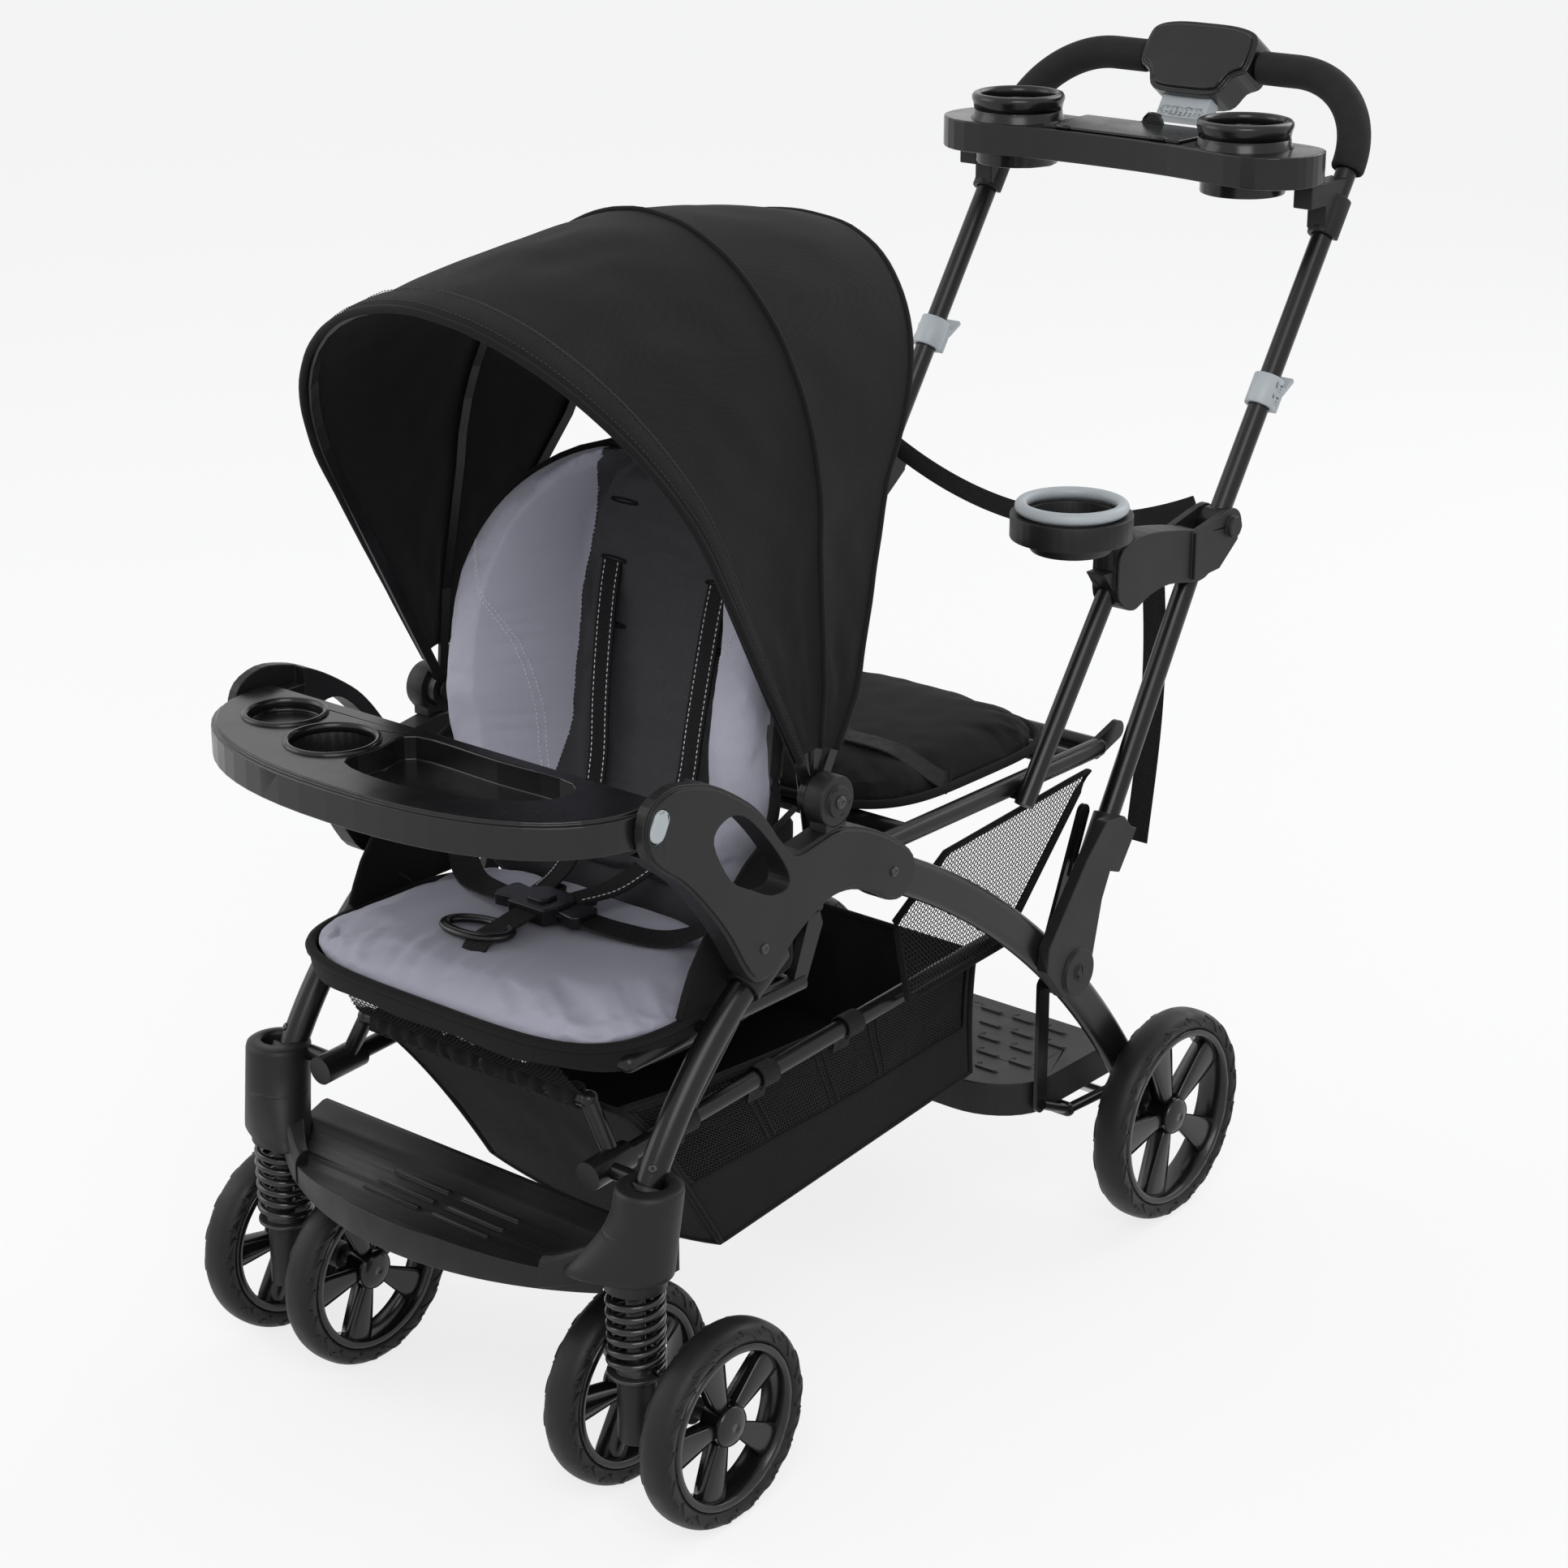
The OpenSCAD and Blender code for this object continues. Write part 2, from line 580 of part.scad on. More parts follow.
// Canopy bow: flat stay from hub to hub with an eye at each end, in its own layer along X
// A bow is [angle, layer, half width above the hub, reach, share of the reach that is straight, roundness]
front_bow = [front_bow_angle, 0, bow_half_w + 3, bow_reach, 0.55, 1.9];
middle_bow = [middle_bow_angle, 1, bow_half_w - 6, bow_reach - 17, 0.46, 1.95];
rear_bow = [rear_bow_angle, 2, bow_half_w - 30, bow_reach + 15, 0.56, 2.25];
bow_t = 3;
bow_w = 10;
hub_pin_r = 5;
function bow_face(k) = bow_half_w + 5 + k * (bow_t + gap);
function bow_points(bow, low, off) = let (n = 24, q = 2 / bow[5], w0 = bow_face(bow[1]) - bow_t / 2 + off,
    w1 = bow[2] + off, h = bow[4] * bow[3], r = bow[3] + off)
  [for (p = concat([[w0, low], [w0, 90]],
      [for (i = [0:n]) let (t = 180 * i / n, c = cos(t), s = max(0, sin(t)))
        [sign(c) * pow(abs(c), q) * w1, h + (r - h) * pow(s, q)]], [[-w0, 90], [-w0, low]]))
    [p[0], hub_at[0] - p[1] * cos(bow[0]), hub_at[1] + p[1] * sin(bow[0])]];
module canopy_bow(bow) {
  face = bow_face(bow[1]);
  sweep_tube(bow_points(bow, 10, 0), bow_t / 2, bow_w / 2, 4, [0, sin(bow[0]), cos(bow[0])]);
  both() difference() {
    pin_x(hub_at, 16, face - bow_t, face);
    pin_x(hub_at, hub_pin_r + run_fit, face - bow_t - 1, face + 1);
  }
}
module canopy_bow_rear() color(black) canopy_bow(rear_bow);
module canopy_bow_middle() color(black) canopy_bow(middle_bow);
module canopy_bow_front() color(black) canopy_bow(front_bow);

// Canopy hub: disc with the bow pin, standing on the saddle of the side panel
module canopy_hub() {
  foot_z = pivot_z + 50;
  inner = bow_face(0) - bow_t - gap;
  disc = bow_face(2) + gap;
  pin_x(hub_at, hub_pin_r, inner - 1, disc + 1);
  pin_x(hub_at, 9, inner - 3, inner);
  pin_x(hub_at, 21, disc, panel_x + panel_t);
  pin_x(hub_at, 13, panel_x + panel_t - 1, panel_x + panel_t + 3);
  translate([disc, hub_at[0] - 13, foot_z]) cube([panel_x + panel_t - disc - 1, 26, hub_z - foot_z]);
}
module canopy_hubs() color(black) both() difference() {
  canopy_hub();
  side_plate(panel_x - 1, panel_x + panel_t + 1) polygon(inset(panel_edge, -gap));
}

// Canopy cloth from one bow to the next, down to the hubs, dipping a little between the bows
function mix(a, b, t) = a + (b - a) * t;
function cloth_grid(a, b, dip, flat, off) = let (m = 5)
  [for (t = concat([0], [for (i = [0:m]) flat + (1 - 2 * flat) * i / m], [1]))
    let (k = min(1, max(0, (t - flat) / (1 - 2 * flat))), bow = mix(a, b, k))
    bow_points([mix(a[0], b[0], t), bow[1], bow[2], bow[3] - dip * sin(180 * k), bow[4], bow[5]],
      mix(34, 44, t), off)];
module canopy_cloth_panel(a, b, dip, flat) {
  off = bow_t / 2 + 2 * gap;
  sheet_solid(cloth_grid(a, b, dip, flat, off + canopy_cloth), cloth_grid(a, b, dip, flat, off));
}
function turned(bow, a, layer) = [bow[0] + a, layer, bow[2], bow[3], bow[4], bow[5]];
module canopy_panel_rear() color(cloth)
  canopy_cloth_panel(turned(middle_bow, 0.4, rear_bow[1]), turned(rear_bow, 0.7, rear_bow[1]), 7, 0.24);
module canopy_panel_front() color(cloth)
  canopy_cloth_panel(turned(front_bow, -0.7, front_bow[1]), turned(middle_bow, -0.4, middle_bow[1]),
    12, 0.06);

// Basket: cloth tub with a sloping front, hung from the lower rails by loops
module tub(g, top_extra) {
  x0 = 132 - g;
  x1 = rail_x - rail_d / 2 - 1 - g;
  front_top = [-680, hoop_z - rail_d / 2 - 1 + top_extra];
  rear_top = [-204 - g, rail_at(-204) - 6 + top_extra];
  front_low = [-556 + g, 168 + g];
  rear_low = [-214 - g, 208 + g];
  points = [for (s = [-1, 1]) each [[s * x1, front_top[0] + 1.3 * g, front_top[1]],
    [s * x1, rear_top[0], rear_top[1]], [s * x0, rear_low[0], rear_low[1]],
    [s * x0, front_low[0], front_low[1]]]];
  sides = [[3, 2, 1, 0], [4, 5, 6, 7], [1, 5, 4, 0], [2, 6, 5, 1], [3, 7, 6, 2], [0, 4, 7, 3]];
  polyhedron(points, [for (q = sides) each [[q[0], q[1], q[2]], [q[0], q[2], q[3]]]]);
}
module basket() color(cloth) {
  difference() {
    tub(0, 0);
    tub(2, 4);
  }
  both() for (y = [-610, -507, -393]) difference() {
    union() {
      translate([rail_x, y, rail_at(y)]) rotate([90, 0, 0])
        cylinder(r = rail_d / 2 + gap + 2.5, h = 22, center = true);
      translate([rail_x - rail_d / 2 - 3, y - 11, rail_at(y) - 16]) cube([2.2, 22, 16]);
    }
    rod([rail_x, rail_front[0] - 10, rail_at(rail_front[0] - 10)],
      [rail_x, rail_rear[0] + 40, rail_at(rail_rear[0] + 40)], rail_d + 2 * gap);
  }
}

// Child tray: rounded front tray with a deep cup, a round recess and a long compartment
module tray_outline(g) {
  a = tray_half_w - g;
  b = tray_round - g;
  q = 2 / 2.3;
  polygon(concat([for (t = [180:6:360])
    [sign(cos(t)) * a * pow(abs(cos(t)), q), tray_round - tray_front_y - b * pow(abs(sin(t)), q)]],
    [[a, tray_round - tray_front_y + 18 - g], [-a, tray_round - tray_front_y + 18 - g]]));
}
module child_tray() color(black) {
  low = tray_z - tray_h;
  cup = [-74, 77 - tray_front_y];
  recess = [-152, 98 - tray_front_y];
  well = smooth([[-28, 48], [40, 40], [110, 58], [152, 92], [140, 126], [60, 126], [-30, 126], [-32, 90]], 4);
  difference() {
    union() {
      translate([0, 0, low]) linear_extrude(tray_h - 3) tray_outline(0);
      translate([0, 0, tray_z - 3.01]) linear_extrude(3.01) tray_outline(4);
      translate([cup[0], cup[1], low - 22]) cylinder(r = child_cup_r + 3, h = tray_h + 20);
      both() translate([tray_half_w - 16, tray_round - tray_front_y + 8, low + 4]) cube([16, 35, tray_h - 9]);
    }
    difference() {
      translate([0, 0, low - 1]) linear_extrude(8) tray_outline(4);
      translate([cup[0], cup[1], low - 30]) cylinder(r = child_cup_r + 3, h = 60);
    }
    translate([cup[0], cup[1], low - 19]) cylinder(r = child_cup_r, h = tray_h + 30);
    translate([recess[0], recess[1], tray_z - 8]) cylinder(r = 30, h = 10);
    translate([0, -tray_front_y, tray_z - 20]) linear_extrude(24) polygon(well);
  }
}

// Rear leg: flat-oval tube bent in one sweep from the fold pin to the rear axle
module rear_leg() {
  difference() {
    union() {
      arc_bar(rear_leg_x, pivot, rear_axle_at, rear_leg_sag, 0, 0) flat_oval(rear_leg_w, rear_leg_t);
      pin_x(pivot, rear_leg_w / 2, rear_leg_x - rear_leg_t / 2, rear_leg_x + rear_leg_t / 2);
      pin_x(rear_axle_at, rear_leg_w / 2, rear_leg_x - rear_leg_t / 2, rear_leg_x + rear_leg_t / 2);
    }
    pin_x(pivot, pin_r + run_fit, rear_leg_x - 20, rear_leg_x + 20);
    pin_x(rear_axle_at, axle_r + run_fit, rear_leg_x - 20, rear_leg_x + 20);
  }
}
module rear_leg_right() color(black) rear_leg();
module rear_leg_left() color(black) mirror([1, 0, 0]) rear_leg();

// Rear axle: one steel rod through both legs and both wheels
axle_end_x = rear_wheel_x + rear_tyre_w / 2 - 5;
module rear_axle() color("silver") pin_x(rear_axle_at, axle_r, -axle_end_x, axle_end_x);

// Standing platform: rounded step with a skirt, a hollow underside and raised oval treads
module platform_outline(g) {
  w = platform_half_w - g;
  f = -platform_y + g;
  polygon(concat([for (t = [180:10:270]) [-w + 70 + 70 * cos(t), f + 60 + 60 * sin(t)]],
    [for (t = [270:10:360]) [w - 70 + 70 * cos(t), f + 60 + 60 * sin(t)]], [[w, 15 - g], [-w, 15 - g]]));
}
module platform() color(satin) {
  low = platform_z - platform_h;
  difference() {
    translate([0, 0, low]) linear_extrude(platform_h) platform_outline(0);
    translate([0, 0, low - 1]) linear_extrude(platform_h - 3) platform_outline(4);
  }
  for (i = [-3:3], j = [0:4])
    translate([i * 38 + (j % 2) * 19 - 9.5, -platform_y + 36 + j * 28, platform_z - 0.01])
      linear_extrude(1.8) flat_oval(26, 9);
}

// Links that hang the platform from the rear legs, and the bent tube that carries it from below
function rear_leg_z_at(y) = let (c = arc_c(pivot, rear_axle_at, rear_leg_sag),
    r = arc_r(pivot, rear_axle_at, rear_leg_sag))
  c[1] + sqrt(r * r - pow(y - c[0], 2));
module platform_links() color(black) {
  link_y = -112;
  x0 = platform_half_w + gap;
  top_z = rear_leg_z_at(link_y);
  bottom_z = platform_z - 22;
  low_z = platform_z - platform_h - 9;
  both() {
    side_plate(x0, x0 + 4) translate([link_y, (top_z + bottom_z) / 2]) rotate(90)
      flat_oval(top_z - bottom_z + 16, 16);
    pin_x([link_y, top_z], 5, x0, rear_leg_x - rear_leg_t / 2 - gap);
    rod([x0 + 5, link_y, bottom_z], [x0 + 5, -70, low_z], 9);
    rod([x0 + 5, -70, low_z], [rear_leg_x - rear_leg_t / 2 - 5, -38, 130], 10);
    translate([x0 + 5, -70, low_z]) sphere(d = 14);
  }
  rod([-x0 - 5, -70, low_z], [x0 + 5, -70, low_z], 14);
}

// Lower handle tubes, from the fold brackets up into the knuckles
module lower_tube(g) {
  rod([tube_x, tube_foot[0], tube_foot[1]], [tube_x, tube_top[0], tube_top[1]], tube_d + 2 * g);
}

// Fold bracket: outer plate with pivot disc on the rear leg, and a socket round the lower handle tube
leg_face = rear_leg_x + rear_leg_t / 2;
module fold_bracket() {
  d = [-disc_y, disc_z];
  v = unit(tube_top - tube_foot);
  difference() {
    union() {
      side_plate(leg_face + gap, leg_face + 12)
        polygon([for (p = [[68, 131], [82, 115], [72, 98], [53, 95], [36, 60], [23, 6], [18, -21],
          [-20, -20], [-48, 14], [-46, 36], [10, 106], [39, 134]]) p + d]);
      pin_x(d, disc_r, leg_face + gap, leg_face + 15);
      pin_x(d, 8, leg_face + 14, leg_face + 17);
      rod([tube_x, tube_foot[0] - 4 * v[0], tube_foot[1] - 4 * v[1]],
        [tube_x, tube_foot[0] + 48 * v[0], tube_foot[1] + 48 * v[1]], tube_d + 8);
      side_plate(tube_x, leg_face + 12) polygon([for (p = [[46, 84], [62, 78], [88, 114], [70, 122]]) p + d]);
    }
    lower_tube(socket_fit);
    arc_bar(rear_leg_x, pivot, rear_axle_at, rear_leg_sag, 0, 0)
      flat_oval(rear_leg_w + 2 * gap, rear_leg_t + 2 * gap);
  }
}
module fold_brackets() color(satin) both() fold_bracket();

// Slotted flat bar beside each lower handle tube, riveted to it and to the rear leg
module slotted_bar() {
  a = [59 - disc_y, disc_z + 128];
  b = [11 - disc_y, disc_z + 14];
  d = b - a;
  l = norm(d);
  x1 = tube_x - tube_d / 2 - gap;
  difference() {
    side_plate(x1 - 4, x1) translate((a + b) / 2) rotate(atan2(d[1], d[0])) flat_oval(l + 16, 16);
    side_plate(x1 - 5, x1 + 1) translate((a + b) / 2) rotate(atan2(d[1], d[0]))
      for (k = [[-24, 46], [30, 26]]) translate([k[0], 0]) flat_oval(k[1], 6);
  }
  pin_x([b[0], b[1]], 5, x1 - 4, rear_leg_x - rear_leg_t / 2 - gap);
}
module slotted_bars() color(black) both() slotted_bar();

// Knuckle: forked end for the upper handle, socket for the lower tube, arm forward to the link tube
cheek_gap = 11;
cheek_t = 7;
module link_tube(g) {
  rod([link_x, knuckle_y - 170, knuckle_z - 26], [link_x, knuckle_y - 291, bench_z - 12], bench_d + 2 * g);
}
module knuckle() {
  x0 = tube_x - cheek_gap - gap;
  x1 = tube_x + cheek_gap + gap;
  difference() {
    union() {
      side_plate(x0 - 3, x1 + 3) polygon(smooth(shifted([[-178, -12], [-172, 14], [-130, 21], [-56, 8],
        [-27, -4], [-16, -24], [-20, -34], [-44, -43], [-94, -35], [-126, -38], [-152, -46], [-174, -34]],
        knuckle_at), 4));
      for (x = [x0 - cheek_t, x1]) {
        side_plate(x, x + cheek_t)
          polygon(shifted([[-60, 6], [-8, 17], [12, 10], [12, -14], [-18, -36], [-60, -38]], knuckle_at));
        pin_x(knuckle_at, 17, x, x + cheek_t);
      }
    }
    lower_tube(socket_fit);
    link_tube(socket_fit);
    pin_x(knuckle_at, 17, x0, x1);
  }
  pin_x(knuckle_at, axle_r, x0 - 1, x1 + 1);
  pin_x(knuckle_at, 10, x1 + cheek_t - 0.01, x1 + cheek_t + 5);
}
cup_at = [tube_x, knuckle_y - 233];
cup_z = knuckle_z + 26;
module cup_arm() {
  difference() {
    side_plate(tube_x - 10, tube_x + 10)
      polygon(shifted([[-172, -30], [-150, -20], [-146, 8], [-152, 42], [-172, 56], [-204, 56], [-204, 6]],
        knuckle_at));
    translate([cup_at[0], cup_at[1], cup_z - 30]) cylinder(r = side_cup_r + 16 + gap, h = 120);
    link_tube(socket_fit);
  }
}
module knuckle_right() color(satin) {
  knuckle();
  cup_arm();
}
module knuckle_left() color(satin) mirror([1, 0, 0]) knuckle();

// Side cup holder with its grey rim ring
module side_cup() color(satin) translate([cup_at[0], cup_at[1], cup_z]) difference() {
  union() {
    cylinder(r1 = side_cup_r - 3, r2 = side_cup_r + 4, h = 12);
    translate([0, 0, 11.9]) cylinder(r = side_cup_r + 16, h = side_cup_h - 24);
  }
  translate([0, 0, 3]) cylinder(r = side_cup_r - 6, h = 12);
  translate([0, 0, 14.9]) cylinder(r = side_cup_r, h = side_cup_h);
}
module cup_ring() color(grey) translate([cup_at[0], cup_at[1], cup_z + side_cup_h - 12]) rotate_extrude()
  translate([side_cup_r + 6.5, 6 + gap]) {
    square([8, 5], center = true);
    translate([0, -0.5]) circle(d = 11);
  }

// Rear tubes: lower handle tubes, and link tubes from the knuckle arms down to the bench frame
module rear_tubes() color(black) both() {
  lower_tube(0);
  link_tube(0);
}

// Bench frame: side tubes with rear lugs on the handle tubes, cross tubes under the pad, pins for the links
module bench_frame() color(black) {
  front = bench_rear_y - bench_l;
  link_foot = [knuckle_y - 291, bench_z - 12];
  both() {
    rod([bench_x, front, bench_z], [bench_x, bench_rear_y, bench_z], bench_d);
    translate([bench_x, front, bench_z]) sphere(d = bench_d);
    translate([bench_x, bench_rear_y, bench_z]) sphere(d = bench_d);
    pin_x([link_foot[0], bench_z - 4], 4, bench_x, link_x - bench_d / 2 + 0.5 - gap);
    side_plate(bench_x - 3, bench_x + 3) translate([bench_rear_y, bench_z]) rotate(18)
      translate([14, 0]) flat_oval(52, 18);
  }
  for (y = [front + 44, bench_rear_y - 44, bench_rear_y])
    rod([-bench_x, y, bench_z], [bench_x, y, bench_z], bench_d);
}

// Bench pad on the bench frame
bench_pad_z = bench_z + bench_d / 2 + gap;
bench_pad_l = bench_l - 40;
bench_pad_w = 2 * (bench_x - 11);
bench_mid_y = bench_rear_y - bench_l / 2;
module bench_pad() color(cloth) translate([0, bench_mid_y, bench_pad_z])
  pad(bench_pad_w, bench_pad_l, bench_pad_t);

// Bench belt: two webbing halves over the crown of the pad, joined by a buckle
module bench_belt() color(cloth) translate([0, bench_mid_y - 60, 0]) {
  z = bench_pad_z + bench_pad_t + gap;
  translate([-30, -18, z]) cube([60, 36, 14]);
  both() translate([29, -12, z]) cube([52, 24, 2.5]);
}

// Side net under the bench: cut sheet of square meshes with a bound edge
net_x = rail_x + rail_d / 2 + gap;
module net_outline() {
  polygon([[bench_rear_y - 6, bench_z - 20], [-277, bench_z - 36], [-350, bench_z - 80],
    [-330, rail_at(-330)], [rail_rear[0] - 8, rail_at(rail_rear[0])]]);
}
module side_nets() color("#d8d8da") both() side_plate(net_x, net_x + 1.2) difference() {
  net_outline();
  for (i = [0:18], j = [0:9]) {
    p = [-356 + 17 * i + (j % 2) * 8.5, 312 + 15 * j];
    in_top = p[1] < bench_z - 34 + (p[0] + 277) * 0.072 && p[1] < bench_z - 48 + (p[0] + 277) * 0.6;
    in_low = p[1] > rail_at(p[0]) + 10 && p[0] > -338;
    in_rear = p[0] < -196 + (p[1] - rail_rear[1]) * 0.95;
    if (in_top && in_low && in_rear) translate(p) rotate(45) square(9.5, center = true);
  }
}

// Back strap: webbing that hangs between the two knuckles behind the bench
strap_w = 20;
module back_strap() color(cloth) {
  half = tube_x - cheek_gap - cheek_t - 2 * gap;
  sag = 42;
  y = knuckle_y - 4;
  z = knuckle_z + 14;
  top = [for (i = [-10:10]) let (t = i / 10) [t * half, z + strap_w / 2 - sag * (1 - t * t)]];
  low = [for (i = [10:-1:-10]) let (t = i / 10) [t * half, z - strap_w / 2 - sag * (1 - t * t)]];
  translate([0, y, 0]) rotate([90, 0, 0]) linear_extrude(2) polygon(concat(top, low));
}

// Strap tail: loose webbing end that hangs from the right knuckle
module strap_tail() color(cloth) {
  x1 = tube_x - cheek_gap - cheek_t - 2 * gap;
  front = [for (i = [0:10]) let (t = i / 10) [knuckle_y - 60 + 14 * sin(200 * t), knuckle_z - 4 - 300 * t]];
  back = [for (i = [10:-1:0]) let (t = i / 10) [knuckle_y - 58 + 14 * sin(200 * t), knuckle_z - 4 - 300 * t]];
  side_plate(x1 - 25, x1) polygon(concat(front, back));
}

// Frame of the upper handle: origin at the knuckles, z along the tubes, y towards the rear
module on_handle() {
  translate([0, knuckle_y, knuckle_z]) rotate([-handle_lean, 0, 0]) children();
}

// Bent tube of the handle from its straight part up round the arch, for one side
module handle_path(d, from_z, to_x) {
  translate([tube_x, 0, from_z]) cylinder(d = d, h = handle_l - from_z);
  translate([tube_x - handle_bend, 0, handle_l]) rotate([90, 0, 0])
    rotate_extrude(angle = 90) translate([handle_bend, 0]) circle(d = d);
  translate([to_x, 0, handle_rise]) rotate([0, 90, 0]) cylinder(d = d, h = tube_x - handle_bend - to_x);
}
module handle_tube() color(black) on_handle() both() {
  difference() {
    union() {
      handle_path(tube_d, 10, 0);
      rotate([0, 90, 0]) translate([0, 0, tube_x - cheek_gap]) cylinder(r = 15, h = 2 * cheek_gap);
    }
    rotate([0, 90, 0]) translate([0, 0, tube_x - 30]) cylinder(r = axle_r + run_fit, h = 60);
  }
}

// Grey clips clamped on the upper tubes, each with a hook plate behind
module handle_clips() color(grey) on_handle() both() translate([tube_x, 0, 118]) difference() {
  union() {
    cylinder(d = tube_d + 9, h = 30);
    translate([-9, tube_d / 2, 2]) cube([18, 9, 26]);
    translate([-9, tube_d / 2 + 6, 22]) rotate([-28, 0, 0]) cube([18, 4, 22]);
    for (z = [9, 21]) translate([0, 0, z]) rotate([0, 90, 0]) cylinder(r = 4, h = tube_d / 2 + 6.5);
  }
  translate([0, 0, -1]) cylinder(d = tube_d + 2 * socket_fit, h = 60);
}

// Foam grips slid over the arch
housing_half_w = 64;
module foam_grips() color("#202021") on_handle() both() difference() {
  handle_path(grip_d, handle_l - 4, housing_half_w + gap);
  handle_path(tube_d + 2 * socket_fit, handle_l - 20, housing_half_w - 10);
}

// Handle housing: two-step moulding round the middle of the arch, with a slot for the fold trigger
trigger_half = 28;
trigger_t = 16;
housing_edge = smooth([[-62, 13], [-56, 26], [-34, 32], [0, 33], [34, 32], [56, 26], [62, 13], [61, -13],
  [48, -22], [36, -40], [0, -43], [-36, -40], [-48, -22], [-61, -13]], 4);
module handle_housing() color("#161617") on_handle() translate([0, 0, handle_rise]) difference() {
  union() {
    translate([0, housing_half - 4, 0]) rotate([90, 0, 0])
      linear_extrude(2 * housing_half - 8) polygon(housing_edge);
    translate([0, housing_half, 0]) rotate([90, 0, 0])
      linear_extrude(2 * housing_half) polygon(inset(housing_edge, 5));
  }
  rotate([0, 90, 0]) cylinder(d = tube_d + 2 * socket_fit, h = 200, center = true);
  translate([-trigger_half - gap, -trigger_t / 2 - gap, -50])
    cube([2 * (trigger_half + gap), trigger_t + 2 * gap, 33]);
}

// Fold trigger: grey slider under the housing, squeezed upwards to release the fold
trigger_l = 38;
module fold_trigger() color(grey) on_handle()
  translate([0, 0, handle_rise - 26 - trigger_l]) {
    translate([-trigger_half, -trigger_t / 2, 0]) cube([2 * trigger_half, trigger_t, trigger_l]);
    for (i = [-4:4], j = [0:1]) translate([i * 5.5, -trigger_t / 2 - 0.7, 4 + 5 * j]) rotate([-90, 0, 0])
      cylinder(r = 1.2, h = 2, $fn = 16);
  }

// Parent tray: skirted tray with two deep cups and a lidded bin, set from its clamps below the grips
clamp_h = 40;
clamp_mid = handle_l - 32 - clamp_h / 2;
parent_y = knuckle_y + clamp_mid * sin(handle_lean) - 50.468;
parent_rim_z = knuckle_z + clamp_mid * cos(handle_lean) + parent_rim_rise;
parent_z = parent_rim_z - 24;
parent_low = parent_z - 30;
module parent_outline(g) {
  w = parent_half_w - g;
  polygon(smooth([[-w, 4], [-w + 10, -30 + g], [-w + 50, -50 + g], [-70, -38 + g], [0, -35 + g],
    [70, -38 + g], [w - 50, -50 + g], [w - 10, -30 + g], [w, 4], [w - 14, 36 - g], [w - 60, 46 - g],
    [60, 46 - g], [0, 46 - g], [-60, 46 - g], [-w + 60, 46 - g], [-w + 14, 36 - g]], 4));
}
bin_half = 72;
module parent_tray() color(black) translate([0, parent_y, 0]) {
  cup_floor = parent_low - 13;
  difference() {
    union() {
      difference() {
        translate([0, 0, parent_low]) linear_extrude(parent_z - parent_low) parent_outline(0);
        translate([0, 0, parent_low - 1]) linear_extrude(parent_z - parent_low - 3 + 1) parent_outline(3.5);
      }
      both() translate([parent_cup_x, 0, cup_floor])
        cylinder(r = parent_cup_r + 3, h = parent_rim_z - cup_floor - 3);
      both() translate([parent_cup_x, 0, parent_z - 0.5])
        cylinder(r = parent_cup_r + 6, h = parent_rim_z - parent_z);
      translate([-bin_half - 3, -32, parent_low + 2]) cube([2 * bin_half + 6, 74, parent_z - parent_low - 4]);
      both() translate([parent_cup_x, 0, parent_rim_z - 3]) rotate_extrude()
        translate([parent_cup_r + 3, 0]) circle(r = 3);
    }
    both() translate([parent_cup_x, 0, cup_floor + 3]) cylinder(r = parent_cup_r, h = 120);
    translate([-bin_half, -29, parent_low + 5]) cube([2 * bin_half, 68, 60]);
  }
}

// Lid of the parent tray with a finger tab, hinged along its front edge
lid_hinge = [parent_y - 31, parent_z + gap + 2.5];
module tray_lid() color(black) {
  translate([-bin_half - 6, lid_hinge[0], parent_z + gap]) cube([2 * bin_half + 12, 74, 3]);
  both() pin_x(lid_hinge, 2.5, 46, 62);
  translate([0, lid_hinge[0] + 74, parent_z + gap]) rotate([90, 0, 0]) linear_extrude(3)
    intersection() {
      circle(r = 13);
      translate([-20, 0]) square([40, 20]);
    }
}

// Brackets that clamp the parent tray to the handle tubes
module tray_brackets() color(satin) both() difference() {
  union() {
    on_handle() translate([tube_x, 0, clamp_mid - clamp_h / 2]) cylinder(d = tube_d + 10, h = clamp_h);
    translate([tube_x - 12, parent_y + 4, parent_low - gap - 22]) cube([20, 66, 22]);
    translate([tube_x - 12, parent_y + 30, parent_low - gap - 44]) cube([20, 36, 24]);
  }
  on_handle() translate([tube_x, 0, clamp_mid - 62]) cylinder(d = tube_d + 2 * socket_fit, h = 130);
  on_handle() translate([tube_x - 30, 6, clamp_mid - 112]) cube([60, 60, 200]);
  translate([tube_x - 40, parent_y - 60, parent_low - gap]) cube([80, 180, 80]);
}

// Caster stem: steel pin that slides in the pod, with the spring seat fixed on it
seat_z = swivel_top_z + gap;
module caster_stem() {
  stem_foot = swivel_top_z - 44;
  translate([caster_x, -caster_y, stem_foot])
    cylinder(r = stem_r, h = stem_bore_top - suspension_travel - 2 - stem_foot);
  translate([caster_x, -caster_y, seat_z]) cylinder(r = spring_r + spring_wire / 2, h = 3);
  translate([caster_x, -caster_y, seat_z]) cylinder(r = swivel_r + 1, h = spring_seat_t);
}
module caster_stem_right() color(satin) caster_stem();
module caster_stem_left() color(satin) mirror([1, 0, 0]) caster_stem();

